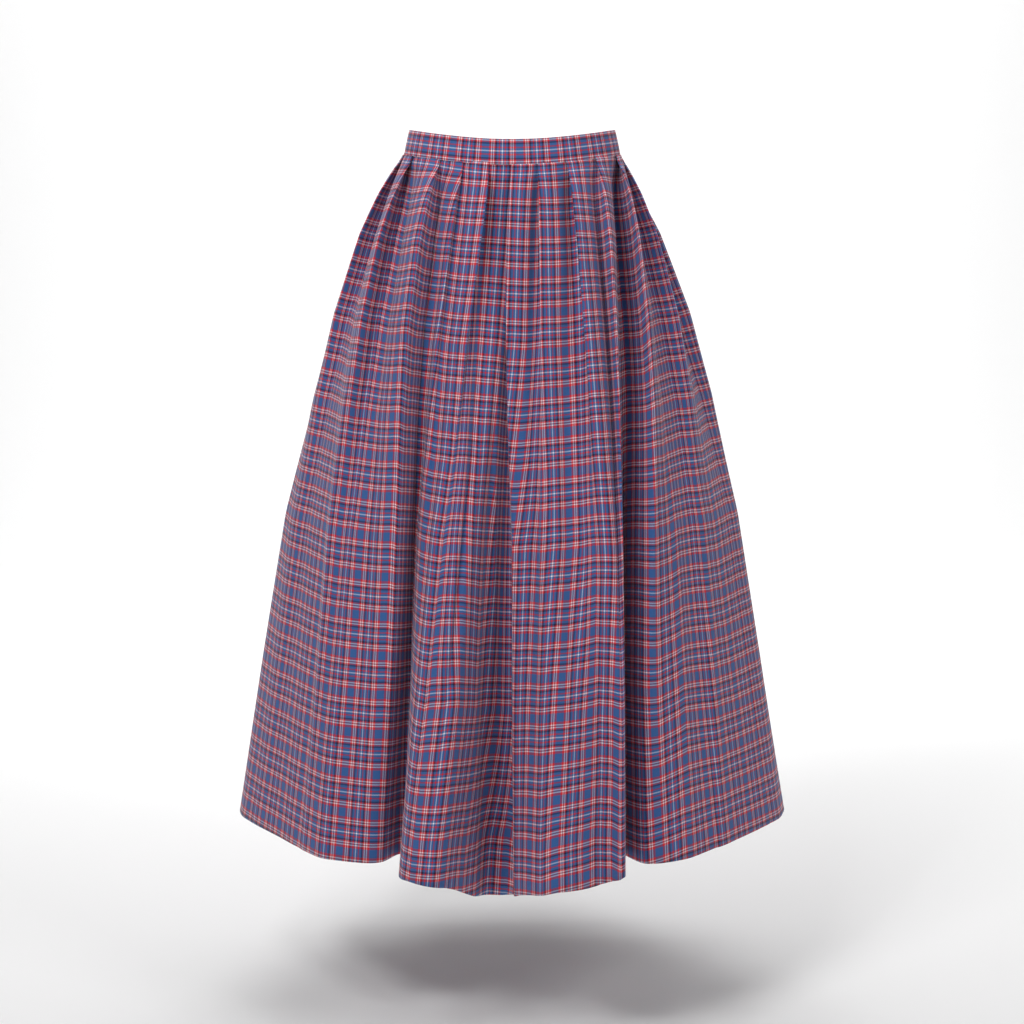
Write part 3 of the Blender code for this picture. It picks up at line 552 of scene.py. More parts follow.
    def band_frame(self, place: float) -> tuple[np.ndarray, np.ndarray, np.ndarray]:
        """The waistband at a place along the seam.

        Args:
            place: Along the waist seam from the centre front.

        Returns:
            The middle of its top, the middle of its foot, and the way out of it.
        """
        turns = np.linspace(-math.pi, math.pi, len(self.seam_along))
        angle = float(np.interp(place, self.seam_along, turns))
        ahead = np.array([math.sin(angle), -math.cos(angle), 0.0])
        top = ahead * (self.waist_half_width, self.waist_half_depth, 0.0)
        top[2] = self.band_top - float(self.dip(place))
        inset = self.band_inset
        low = ahead * (self.seam_half_width - inset, self.seam_half_depth - inset, 0.0)
        low[2] = top[2] - self.band_height
        down = (low - top) / np.linalg.norm(low - top)
        sideways = np.array([math.cos(angle) * self.waist_half_width,
                             math.sin(angle) * self.waist_half_depth, 0.0])
        out = np.cross(down, sideways)
        return top, low, out / np.linalg.norm(out)


def new_piece(name: str, points: np.ndarray, faces: Sequence[Sequence[int]]) -> Any:
    """A smooth-shaded mesh piece at the origin.

    Args:
        name: The piece's name.
        points: One row (x, y, z) for each vertex.
        faces: Vertex numbers for each face.

    Returns:
        The new object, in the scene.
    """
    mesh = bpy.data.meshes.new(name)
    mesh.from_pydata(np.asarray(points, float).tolist(), [], [tuple(map(int, face)) for face in faces])
    mesh.polygons.foreach_set("use_smooth", [True] * len(mesh.polygons))
    piece = bpy.data.objects.new(name, mesh)
    bpy.context.scene.collection.objects.link(piece)
    return piece


def grid_faces(rows: int, columns: int, closed: bool = False) -> np.ndarray:
    """Four-sided faces of a grid whose points run row by row.

    Args:
        rows: How many rows of points.
        columns: How many points in a row.
        closed: Whether each row runs round into its own start.

    Returns:
        Vertex numbers, a row for each face.
    """
    index = np.arange(rows * columns).reshape(rows, columns)
    if closed:
        index = np.hstack([index, index[:, :1]])
    corners = (index[:-1, :-1], index[1:, :-1], index[1:, 1:], index[:-1, 1:])
    return np.stack(corners, axis=-1).reshape(-1, 4)


def lay_cloth_map(piece: Any, along: np.ndarray, across: np.ndarray) -> None:
    """Gives a piece its cloth map: where each vertex is on the uncut cloth, in metres."""
    layer = piece.data.uv_layers.new(name="cloth")
    corners = np.zeros(len(piece.data.loops), np.int32)
    piece.data.loops.foreach_get("vertex_index", corners)
    places = np.stack([along.ravel()[corners], across.ravel()[corners]], axis=1)
    layer.data.foreach_set("uv", places.astype(np.float32).ravel())


def select_only(piece: Any) -> None:
    """Makes a piece the active one, and the only one that is selected."""
    bpy.ops.object.select_all(action="DESELECT")
    piece.select_set(True)
    bpy.context.view_layer.objects.active = piece


def dress_piece(piece: Any, material: Any) -> None:
    """Gives a whole piece one material."""
    piece.data.materials.clear()
    piece.data.materials.append(material)


def thicken(piece: Any, wall: float) -> None:
    """Turns an open sheet into a thin shell and applies it."""
    select_only(piece)
    solidify = piece.modifiers.new("wall", "SOLIDIFY")
    solidify.thickness = wall
    solidify.offset = 0.0
    solidify.use_even_offset = False
    bpy.ops.object.modifier_apply(modifier=solidify.name)


def repeat_piece(name: str, model: Any, places: Sequence[Matrix]) -> Any:
    """One piece that holds a copy of a modelled shape at each place; the shape itself goes.

    Args:
        name: The piece's name.
        model: The shape, modelled round the origin.
        places: Where each copy goes, and how it is turned.

    Returns:
        The piece.
    """
    shape = np.array([vertex.co for vertex in model.data.vertices])
    faces = [tuple(face.vertices) for face in model.data.polygons]
    points = [shape @ np.array(place.to_3x3()).T + np.array(place.translation) for place in places]
    count = len(shape)
    repeated = [[vertex + count * index for vertex in face] for index in range(len(places)) for face in faces]
    bpy.data.objects.remove(model)
    log.info("%s: %d copies", name, len(places))
    return new_piece(name, np.vstack(points), repeated)


class NodeTable:
    """A node tree that is being laid out, with short calls for its nodes."""

    def __init__(self, tree: Any) -> None:
        """Starts on a tree."""
        self.tree = tree

    def add(self, kind: str, **values: Any) -> Any:
        """Adds a node and sets its own values."""
        node = self.tree.nodes.new(kind)
        for name, value in values.items():
            setattr(node, name, value)
        return node

    def join(self, start: Any, end: Any) -> None:
        """Links an output to an input."""
        self.tree.links.new(start, end)

    def feed(self, socket: Any, value: Any) -> None:
        """Links an output to a socket, or sets a plain value on it."""
        if isinstance(value, bpy.types.NodeSocket):
            self.join(value, socket)
        else:
            socket.default_value = value

    def maths(self, operation: str, *values: Any) -> Any:
        """A Math node's result."""
        node = self.add("ShaderNodeMath", operation=operation)
        for socket, value in zip(node.inputs, values):
            self.feed(socket, value)
        return node.outputs[0]

    def blend(self, share: Any, first: Any, second: Any) -> Any:
        """Two colours mixed."""
        node = self.add("ShaderNodeMix", data_type="RGBA", blend_type="MIX", clamp_factor=True)
        for socket, value in zip((node.inputs[0], node.inputs[6], node.inputs[7]), (share, first, second)):
            self.feed(socket, value)
        return node.outputs[2]

    def noise(self, place: Any, scale: float, detail: float = 2.0, dims: str = "3D") -> Any:
        """A noise value of 0 to 1."""
        node = self.add("ShaderNodeTexNoise", noise_dimensions=dims)
        node.inputs["Scale"].default_value = scale
        node.inputs["Detail"].default_value = detail
        self.join(place, node.inputs["Vector"])
        return node.outputs["Fac"]

    def bump(self, height: Any, strength: float, distance: float) -> Any:
        """A Bump node's normal."""
        node = self.add("ShaderNodeBump")
        node.inputs["Strength"].default_value = strength
        node.inputs["Distance"].default_value = distance
        self.join(height, node.inputs["Height"])
        return node.outputs[0]

    def group(self, group: Any, **values: Any) -> Any:
        """A node group, with values for its inputs."""
        node = self.add("ShaderNodeGroup", node_tree=group)
        for name, value in values.items():
            self.feed(node.inputs[name], value)
        return node


def new_group(name: str, inputs: dict[str, str], outputs: dict[str, str]) -> tuple[Any, NodeTable, Any, Any]:
    """An empty shader node group.

    Args:
        name: Its name.
        inputs: Socket names and types.
        outputs: Socket names and types.

    Returns:
        The group, its table, its input node and its output node.
    """
    group = bpy.data.node_groups.new(name, "ShaderNodeTree")
    for word, kind in inputs.items():
        group.interface.new_socket(word, in_out="INPUT", socket_type=kind)
    for word, kind in outputs.items():
        group.interface.new_socket(word, in_out="OUTPUT", socket_type=kind)
    table = NodeTable(group)
    return group, table, table.add("NodeGroupInput"), table.add("NodeGroupOutput")


def new_material(name: str, values: dict[str, float]) -> tuple[Any, NodeTable, dict[str, Any]]:
    """A new material with its usual shader.

    Args:
        name: Its name.
        values: What some of the shader's inputs are set to.

    Returns:
        The material, its table and the shader's inputs.
    """
    material = bpy.data.materials.new(name)
    material.use_nodes = True
    inputs = material.node_tree.nodes["Principled BSDF"].inputs
    for word, value in values.items():
        inputs[word].default_value = value
    return material, NodeTable(material.node_tree), inputs


class Stripe(NamedTuple):
    """One stripe of the check, counted from the white line: where it ends, in repeats, and its yarn."""

    ends: float
    yarn: Yarn


@dataclass(frozen=True)
class Sett:
    """The check: the stripes of half a repeat, the same both ways, mirrored at the white line."""

    stripes: tuple[Stripe, ...] = (
        Stripe(0.017, Yarn.WHITE),
        Stripe(0.066, Yarn.BLUE),
        Stripe(0.104, Yarn.RED),
        Stripe(0.160, Yarn.BLUE),
        Stripe(0.203, Yarn.NIGHT),
        Stripe(0.238, Yarn.RED),
        Stripe(0.266, Yarn.WHITE),
        Stripe(0.300, Yarn.WINE),
        Stripe(0.330, Yarn.WHITE),
        Stripe(0.392, Yarn.RED),
        Stripe(0.500, Yarn.BLUE),
    )
    softness: float = 0.004  # half of the blur between two stripes, in repeats

    def group(self) -> Any:
        """The node group that turns a place, in repeats, into the stripe's colour."""
        group, table, inputs, outputs = new_group(
            "check stripes", {"Place": "NodeSocketFloat"}, {"Colour": "NodeSocketColor"})
        folded = table.maths("PINGPONG", inputs.outputs["Place"], 0.5)
        ramp = table.add("ShaderNodeValToRGB")
        table.join(table.maths("MULTIPLY", folded, 2.0), ramp.inputs[0])
        stops = [(0.0, self.stripes[0].yarn)]
        for here, after in zip(self.stripes[:-1], self.stripes[1:]):
            stops.append((2.0 * (here.ends - self.softness), here.yarn))
            stops.append((2.0 * (here.ends + self.softness), after.yarn))
        elements = ramp.color_ramp.elements
        elements[0].position, elements[1].position = stops[0][0], stops[-1][0]
        elements[0].color, elements[1].color = ((*stop[1].value, 1.0) for stop in (stops[0], stops[-1]))
        for place, yarn in stops[1:-1]:
            elements.new(place).color = (*yarn.value, 1.0)
        table.join(ramp.outputs["Color"], outputs.inputs["Colour"])
        return group


@dataclass(frozen=True)
class Weave:
    """A two-and-two twill of fine brushed yarn."""

    yarn: float = 0.00045  # from one yarn to the next
    over_and_under: float = 4.0  # yarns that one yarn crosses before it does the same again
    slub_scale: float = 900.0
    patch_scale: float = 45.0
    slub: float = 0.16  # how much single yarns differ in their dye
    patch: float = 0.10  # how much the cloth differs from place to place
    dye: float = 0.87

    def group(self) -> Any:
        """The node group that says which yarn is on top, how high, and how even the dye is."""
        group, table, inputs, outputs = new_group(
            "twill weave", dict.fromkeys(("Warp", "Weft"), "NodeSocketFloat"),
            dict.fromkeys(("Share", "Height", "Dye"), "NodeSocketFloat"))
        warp = table.maths("DIVIDE", inputs.outputs["Warp"], self.yarn)
        weft = table.maths("DIVIDE", inputs.outputs["Weft"], self.yarn)
        slant = table.maths("DIVIDE", table.maths("ADD", warp, weft), self.over_and_under)
        diagonal = table.maths("PINGPONG", slant, 0.5)
        share = table.maths("MULTIPLY", diagonal, 2.0)
        round_warp, round_weft = (
            table.maths("ABSOLUTE", table.maths("SINE", table.maths("MULTIPLY", yarns, math.pi)))
            for yarns in (warp, weft))
        first = table.maths("MULTIPLY", round_warp, share)
        second = table.maths("MULTIPLY", round_weft, table.maths("SUBTRACT", 1.0, share))
        table.join(share, outputs.inputs["Share"])
        table.join(table.maths("ADD", first, second), outputs.inputs["Height"])
        place = table.add("ShaderNodeCombineXYZ")
        table.join(inputs.outputs["Warp"], place.inputs[0])
        table.join(inputs.outputs["Weft"], place.inputs[1])
        slub = table.noise(place.outputs[0], self.slub_scale, 2.0, "2D")
        slub = table.maths("MULTIPLY", slub, self.slub)
        patch = table.noise(place.outputs[0], self.patch_scale, 3.0, "2D")
        patch = table.maths("MULTIPLY", patch, self.patch)
        table.join(table.maths("ADD", table.maths("ADD", slub, patch), self.dye), outputs.inputs["Dye"])
        return group


@dataclass(frozen=True)
class CheckedCloth:
    """The skirt's brushed check, on the cloth map."""

    sett: Sett
    weave: Weave
    warp_repeat: float = 0.0405
    weft_repeat: float = 0.0470
    warp_start: float = 0.0175  # the thread that a white line runs down
    weft_start: float = 0.0095  # how far below the top edge a white line runs across
    contrast: float = 0.30  # how much of the twill shows in the colour
    roughness: float = 0.86
    sheen: float = 0.18
    sheen_roughness: float = 0.55
    specular: float = 0.22
    eye_curve: float = 2.2
    bump: tuple[float, float] = (0.18, 0.0003)  # strength and distance
    band_starts: tuple[float, float] = (-0.0113, 0.0145)  # where the waistband's white lines start

    def group(self) -> Any:
        """The node group of the check: the colour and the height at a place on the cloth."""
        sockets = ("Warp", "Weft", "Warp start", "Weft start")
        group, table, inputs, outputs = new_group(
            "brushed check", dict.fromkeys(sockets, "NodeSocketFloat"),
            {"Colour": "NodeSocketColor", "Height": "NodeSocketFloat"})
        stripes = self.sett.group()
        warp, weft = inputs.outputs["Warp"], inputs.outputs["Weft"]
        colours = []
        ways = ((warp, "Warp start", self.warp_repeat), (weft, "Weft start", self.weft_repeat))
        for place, start, repeat in ways:
            count = table.maths("DIVIDE", table.maths("SUBTRACT", place, inputs.outputs[start]), repeat)
            colours.append(table.group(stripes, Place=count).outputs["Colour"])
        twill = table.group(self.weave.group(), Warp=warp, Weft=weft)
        swing = table.maths("MULTIPLY", table.maths("SUBTRACT", twill.outputs["Share"], 0.5), self.contrast)
        mixed = table.blend(table.maths("ADD", swing, 0.5), *colours)
        eye = table.add("ShaderNodeGamma")
        eye.inputs["Gamma"].default_value = self.eye_curve
        table.join(mixed, eye.inputs["Color"])
        dyed = table.add("ShaderNodeVectorMath", operation="SCALE")
        table.join(eye.outputs[0], dyed.inputs[0])
        table.join(twill.outputs["Dye"], dyed.inputs["Scale"])
        table.join(dyed.outputs[0], outputs.inputs["Colour"])
        table.join(twill.outputs["Height"], outputs.inputs["Height"])
        return group

    def material(self, name: str, group: Any, starts: tuple[float, float]) -> Any:
        """The finish of one cut of the cloth.

        Args:
            name: The material's name.
            group: The check's node group.
            starts: Where its white lines start, along and across.

        Returns:
            The material.
        """
        material, table, shader = new_material(name, {
            "Roughness": self.roughness, "Sheen Weight": self.sheen,
            "Sheen Roughness": self.sheen_roughness, "Specular IOR Level": self.specular})
        cloth_map = table.add("ShaderNodeUVMap", uv_map="cloth")
        place = table.add("ShaderNodeSeparateXYZ")
        table.join(cloth_map.outputs[0], place.inputs[0])
        check = table.group(group, **{"Warp": place.outputs[0], "Weft": place.outputs[1],
                                      "Warp start": starts[0], "Weft start": starts[1]})
        table.join(check.outputs["Colour"], shader["Base Color"])
        table.join(table.bump(check.outputs["Height"], *self.bump), shader["Normal"])
        return material


@dataclass(frozen=True)
class PlainYarn:
    """Dyed thread or woven tape, with a fine rib whose tops carry a painted highlight."""

    colour: tuple[float, float, float]
    rib: float = 0.0006  # from one rib to the next
    roughness: float = 0.72
    sheen: float = 0.15
    rib_highlight: float = 1.5  # how much lighter the painted highlight on each rib's top is than the dye
    darkest: float = 0.7
    worn_scale: float = 260.0
    worn_share: float = 0.6
    bump: tuple[float, float] = (0.35, 0.0003)  # strength and distance

    def material(self, name: str) -> Any:
        """The finish."""
        material, table, shader = new_material(
            name, {"Roughness": self.roughness, "Sheen Weight": self.sheen})
        place = table.add("ShaderNodeTexCoord").outputs["Object"]
        parts = table.add("ShaderNodeSeparateXYZ")
        table.join(place, parts.inputs[0])
        slant = table.maths("ADD", table.maths("ABSOLUTE", parts.outputs[0]), parts.outputs[2])
        rib = table.maths("PINGPONG", table.maths("DIVIDE", slant, self.rib), 0.5)
        light = tuple(min(1.0, value * self.rib_highlight) for value in self.colour)
        # Painted highlight: each rib's top is painted lighter than the dye, where light would catch it.
        colour = table.blend(table.maths("MULTIPLY", rib, 2.0), (*self.colour, 1.0), (*light, 1.0))
        worn = table.maths("MULTIPLY", table.noise(place, self.worn_scale), self.worn_share)
        dark = tuple(value * self.darkest for value in self.colour)
        table.join(table.blend(worn, colour, (*dark, 1.0)), shader["Base Color"])
        table.join(table.bump(rib, *self.bump), shader["Normal"])
        return material


TAPE_YARN = PlainYarn((0.020, 0.022, 0.060))
COIL_NYLON = PlainYarn((0.016, 0.018, 0.050), rib=0.0003, roughness=0.35)
SEWING_THREAD = PlainYarn((0.030, 0.034, 0.090), rib=0.0002, roughness=0.5)


@dataclass(frozen=True)
class LacqueredMetal:
    """Zinc under a thin dark lacquer, rubbed through a little in small random spots."""

    colour: tuple[float, float, float] = (0.045, 0.050, 0.110)
    rubbed: tuple[float, float, float] = (0.20, 0.21, 0.26)
    metallic: float = 0.6
    coat: float = 0.5
    coat_roughness: float = 0.15
    spot_scale: float = 900.0
    worn_from: float = 0.55  # the noise above which the lacquer is worn
    worn_gain: float = 2.5
    smear_scale: float = 2200.0
    smear: float = 0.25  # how uneven the roughness is
    roughness: float = 0.24
    grain_scale: float = 1500.0
    bump: tuple[float, float] = (0.12, 0.0001)  # strength and distance

    def material(self, name: str) -> Any:
        """The finish."""
        material, table, shader = new_material(name, {
            "Metallic": self.metallic, "Coat Weight": self.coat, "Coat Roughness": self.coat_roughness})
        place = table.add("ShaderNodeTexCoord").outputs["Object"]
        spots = table.noise(place, self.spot_scale, 3.0)
        worn = table.maths("MULTIPLY", table.maths("SUBTRACT", spots, self.worn_from), self.worn_gain)
        table.join(table.blend(worn, (*self.colour, 1.0), (*self.rubbed, 1.0)), shader["Base Color"])
        uneven = table.maths("MULTIPLY", table.noise(place, self.smear_scale), self.smear)
        table.join(table.maths("ADD", uneven, self.roughness), shader["Roughness"])
        table.join(table.bump(table.noise(place, self.grain_scale), *self.bump), shader["Normal"])
        return material


@dataclass
class Panels:
    """The front and the two backs: thin shells on the skirt's form, hems turned up inside."""

    form: SkirtForm
    side_seam_right: float = 0.530
    side_seam_left: float = -0.715
    shell: float = 0.0007
    thread_spacing: float = 0.0042
    thread_room: float = 0.0006
    rows_above: int = 26
    rows_below: int = 62
    split_at: float = 0.115
    hem_turn: float = 0.028
    hem_fold: float = 0.0007
    seam_sink: float = 0.0007  # how deep the groove of a side seam is
    seam_reach: float = 0.0016
    cut_length: float = 0.850
    open_share: float = 0.003  # how readily cloth that shows takes up what is left over
    droop_from: float = 0.45  # down from the seam
    crease_fade: float = 0.7
    out_reach: float = 0.004  # how far a ring is softened before its way out is taken
    out_steps: int = 4
    tucked_in: float = 0.55  # how far the first row above the seam has gone in to the band's wall
    tucked_up: tuple[float, float] = (0.0012, 0.0040)  # how high both rows above the seam lie
    tucked_runs: tuple[float, float] = (0.0020, 0.0046)
    turned_to: tuple[float, ...] = (0.0010, 0.0100, 0.0190)  # rows of the hem's turning below its edge
    turned_in: float = 2.1  # how far inside the turning lies, in folds
    turned_down: float = 0.6
    downs: np.ndarray = field(init=False)
    rings: np.ndarray = field(init=False)
    lengths: np.ndarray = field(init=False)
    places: np.ndarray = field(init=False)
    pieces: list[Any] = field(default_factory=list)

    def heights(self) -> np.ndarray:
        """The rows' heights, down from the seam, closer together at the top."""
        top = np.linspace(0.0, self.split_at, self.rows_above)
        low = np.linspace(self.split_at, self.form.length, self.rows_below)
        return np.concatenate([top, low[1:]])

    def panel_threads(self, start: float, end: float, rows: np.ndarray) -> np.ndarray:
        """The threads of each row of a panel. They follow the folds."""
        form = self.form
        first = start + form.seam_gap / 2.0
        last = end - form.seam_gap / 2.0
        keys = np.array([form.keys(down)[:, 0] for down in rows])
        keys = np.hstack([keys, keys + form.cloth])
        clear = form.pleat_turn / 2.0
        keys = keys[:, (keys[0] > first + clear) & (keys[0] < last - clear)]
        order = np.arange(1, keys.shape[1] + 1) * self.thread_room
        keys = np.clip(keys, first + order, last - order[::-1])
        ends = np.ones((len(rows), 1))
        stops = np.hstack([ends * first, keys, ends * last])
        columns = []
        for here, after in zip(stops.T[:-1], stops.T[1:]):
            parts = max(1, math.ceil((after - here).max() / self.thread_spacing))
            columns += [here + (after - here) * part / parts for part in range(parts)]
        return np.array(columns + [stops[:, -1]]).T

    def creased(self, down: float) -> np.ndarray:
        """How far the soft creases lift each thread at a height."""
        form = self.form
        rise = np.zeros(len(form.threads))
        for crease in CREASES:
            share = (down - crease.start) / (crease.end - crease.start)
            if not 0.0 < share < 1.0:
                continue
            centre = crease.thread + (crease.thread_low - crease.thread) * share
            away = wrapped(form.threads - centre, form.cloth)
            fade = math.sin(math.pi * share) ** self.crease_fade
            rise += crease.rise * fade * np.exp(-0.5 * (away / crease.width) ** 2)
        return rise * form.shown(down)

    def settled(self, down: float, lift: float = 0.0) -> np.ndarray:
        """The cloth's points at a height, with its creases and its droop, and lifted off by a little."""
        form = self.form
        ring = form.ring(down)
        threads, drops = np.array(HEM_DROOP).T
        ring = ring + self.outwards(ring) * (self.creased(down) + lift)[:, None]
        share = float(smooth_step((down - self.droop_from) / (form.length - self.droop_from)))
        ring[:, 2] -= np.interp(wrapped(form.threads, form.cloth), threads, drops) * share
        return ring

    def outwards(self, ring: np.ndarray) -> np.ndarray:
        """The way out of a ring at each thread, level, from its own softened course."""
        plan = soften(ring[:, :2], self.out_reach, self.form.cloth_step)
        course = np.roll(plan, -self.out_steps, axis=0) - np.roll(plan, self.out_steps, axis=0)
        out = np.stack([course[:, 1], -course[:, 0]], axis=1)
        length = np.maximum(np.linalg.norm(out, axis=1, keepdims=True), TINY)
        return np.hstack([out / length, np.zeros((len(out), 1))])

    def anchors(self, down: float) -> list[tuple[float, float]]:
        """Where the check stays put at a height, in the middle of each cloth that shows.

        Args:
            down: The height, down from the seam.

        Returns:
            Each one's thread and its place along the uncut cloth, in order.
        """
        folds = self.form.folds(down)
        places = []
        for index, pleat in enumerate(PLEATS):
            after = PLEATS[(index + 1) % len(PLEATS)]
            edge, under, _ = folds[index]
            edge_after, under_after, _ = folds[(index + 1) % len(PLEATS)]
            start = max(edge, under)
            end = min(edge_after, under_after) + (self.form.cloth if after is PLEATS[0] else 0.0)
            if pleat.name not in SHOWN and after.name not in SHOWN:
                places.append(((start + end) / 2.0, (start + end) / 2.0))
        for path in ANCHORS:
            rows = np.array(path)
            places.append(tuple(rows_at(down, rows[:, 0], rows[:, 1:]).tolist()))
        return sorted(places)

    def warp_places(self, down: float, ring: np.ndarray) -> np.ndarray:
        """Where on the uncut cloth, along it, each thread's check comes from at a height.

        Cloth that shows keeps its own width, and what is left over lies hidden in the pleats.

        Args:
            down: The height, down from the seam.
            ring: The points of that height.

        Returns:
            A place along the cloth for each thread.
        """
        form = self.form
        around = lengths_round(ring[:, :2])
        threads = np.arange(-2 * len(ring), 2 * len(ring)) * form.cloth_step
        arcs = np.concatenate([around[:-1] + turn * around[-1] for turn in (-2, -1, 0, 1)])
        places = threads.copy()
        anchors = self.anchors(down)
        anchors.append((anchors[0][0] + form.cloth, anchors[0][1] + form.cloth))
        for (start, place), (end, place_after) in zip(anchors[:-1], anchors[1:]):
            here = (threads >= start - TINY) & (threads <= end + TINY)
            low, high = np.interp([start, end], threads, arcs)
            spare = (place_after - place) - (high - low)
            jumps = []
            for pleat, (edge, under, _) in zip(PLEATS, form.folds(down)):
                gone = OPENED.get(pleat.name)
                left = 1.0 if gone is None else 1.0 - float(smooth_step(down / gone))
                for turn in (-form.cloth, 0.0, form.cloth):
                    near = max(min(edge, under) + turn, start)
                    far = min(max(edge, under) + turn, end)
                    if near < far and spare > 0.0:
                        first, last = np.interp([near, far], threads, arcs)
                        jumps.append((first, last, (far - near) * left))
            weight = sum(jump[2] for jump in jumps)
            held = weight / (weight + self.open_share)
            run = arcs[here] - low
            places[here] = place + run * (1.0 + spare * (1.0 - held) / (high - low))
            for first, last, share in jumps:
                ramp = np.clip((arcs[here] - first) / max(last - first, NARROWEST), 0.0, 1.0)
                places[here] += ramp * spare * held * share / max(weight, TINY)
        whole = len(ring)
        turns = np.floor((form.threads - anchors[0][0]) / form.cloth).astype(int)
        return places[np.arange(whole) - turns * whole + 2 * whole] + turns * form.cloth

    def surface(self) -> None:
        """Works out every thread at every row, with its creases, and its length down the cloth."""
        form = self.form
        downs = self.heights()
        rings = np.array([self.settled(float(down)) for down in downs])
        steps = np.linalg.norm(np.diff(rings, axis=0), axis=2)
        lengths = np.vstack([np.zeros(rings.shape[1]), np.cumsum(steps, axis=0)])
        log.info("threads %.3f to %.3f m long", lengths[-1].min(), lengths[-1].max())
        lengths = lengths / lengths[-1] * self.cut_length
        centred = wrapped(form.threads, form.cloth)
        slips = np.array([np.interp(centred, *np.array(row.slips).T) for row in SHIFTS])
        heights = [row.down for row in SHIFTS]
        for index in range(len(centred)):
            lengths[:, index] += np.interp(downs, heights, slips[:, index])
        log.info("cloth %.3f m round", form.cloth)
        self.downs, self.rings, self.lengths = downs, rings, lengths
        self.places = np.array([self.warp_places(float(down), ring) for down, ring in zip(downs, rings)])

    def tucked(self, ring: np.ndarray, lengths: np.ndarray) -> tuple[list[np.ndarray], list[np.ndarray]]:
        """Two rows above the top one, that go up inside the waistband's wall."""
        form = self.form
        centre = ring * (1.0, 1.0, 0.0)
        place, _ = form.seam_threads(0.0)
        place = wrapped(place, form.seam_length)
        plan = form.seam_plan(place, np.zeros(len(place)) - form.band_inset / form.pleat_layer)
        middle = np.stack([plan[:, 0], -plan[:, 1], ring[:, 2]], axis=1)
        inner = middle * (self.tucked_in, self.tucked_in, 1.0)
        first = centre * (1.0 - self.tucked_in) + inner + (0.0, 0.0, self.tucked_up[0])
        second = middle + (0.0, 0.0, self.tucked_up[1])
        return [second, first], [lengths - self.tucked_runs[1], lengths - self.tucked_runs[0]]

    def turned_up(self) -> tuple[list[np.ndarray], list[np.ndarray]]:
        """The rows of the hem's turning, up the inside of the cloth."""
        form = self.form
        last, lengths = self.rings[-1], self.lengths[-1]
        inside = -self.outwards(last)
        rows = [last + inside * self.hem_fold - (0.0, 0.0, self.hem_fold * self.turned_down)]
        runs = [lengths + self.hem_fold]
        for up in (*self.turned_to, self.hem_turn):
            rows.append(self.settled(form.length - up, -self.hem_fold * self.turned_in))
            runs.append(lengths + self.hem_fold * 2.0 + up)
        return rows, runs

    def build_panel(self, name: str, start: float, end: float, node: str) -> None:
        """One panel.

        Args:
            name: The piece's name.
            start: Its first thread.
            end: Its last thread.
            node: The CAD node that it stands for.
        """
        form = self.form
        threads = self.panel_threads(start, end, self.downs)
        top_rows, top_runs = self.tucked(self.rings[0], self.lengths[0])
        low_rows, low_runs = self.turned_up()
        rings = top_rows + list(self.rings) + low_rows
        runs = top_runs + list(self.lengths) + low_runs
        places, threads = (np.vstack([rows[:1]] * len(top_rows) + [rows] + [rows[-1:]] * len(low_rows))
                           for rows in (self.places, threads))
        lookup = np.concatenate([form.threads - form.cloth, form.threads, form.threads + form.cloth])
        grid, along, across = [], [], []
        for ring, run, place, row_threads in zip(rings, runs, places, threads):
            edge = np.minimum(row_threads - start, end - row_threads)
            sink = self.seam_sink * (1.0 - smooth_step(edge / self.seam_reach))
            points = rows_at(row_threads, lookup, np.vstack([ring] * 3))
            away = rows_at(row_threads, lookup, np.vstack([self.outwards(ring)] * 3))
            grid.append(points - away * sink[:, None])
            across.append(np.interp(row_threads, lookup, np.concatenate([run] * 3)))
            turns = np.concatenate([place - form.cloth, place, place + form.cloth])
            along.append(np.interp(row_threads, lookup, turns))
        grid_points = np.array(grid)
        rows, columns, _ = grid_points.shape
        piece = new_piece(name, grid_points.reshape(-1, 3), grid_faces(rows, columns))
        lay_cloth_map(piece, np.array(along), np.array(across))
        thicken(piece, self.shell)
        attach(piece, "skirt")
        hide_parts(node)
        log.info("%s: %d faces", name, len(piece.data.polygons))
        self.pieces.append(piece)

    def build(self) -> None:
        """All three panels."""
        self.surface()
        form = self.form
        place = form.seam_threads(0.0)[0]
        centre_back = float(np.interp(form.seam_length / 2.0, place, form.threads))
        right, left = self.side_seam_right, self.side_seam_left
        self.build_panel("front_panel", left, right, "skirt_front")
        self.build_panel("back_panel_right", right, centre_back, "skirt_back_right")
        self.build_panel("back_panel_left", centre_back, form.cloth + left, "skirt_back_left")

    def dress(self, material: Any) -> None:
        """Gives the panels their cloth."""
        for piece in self.pieces:
            dress_piece(piece, material)


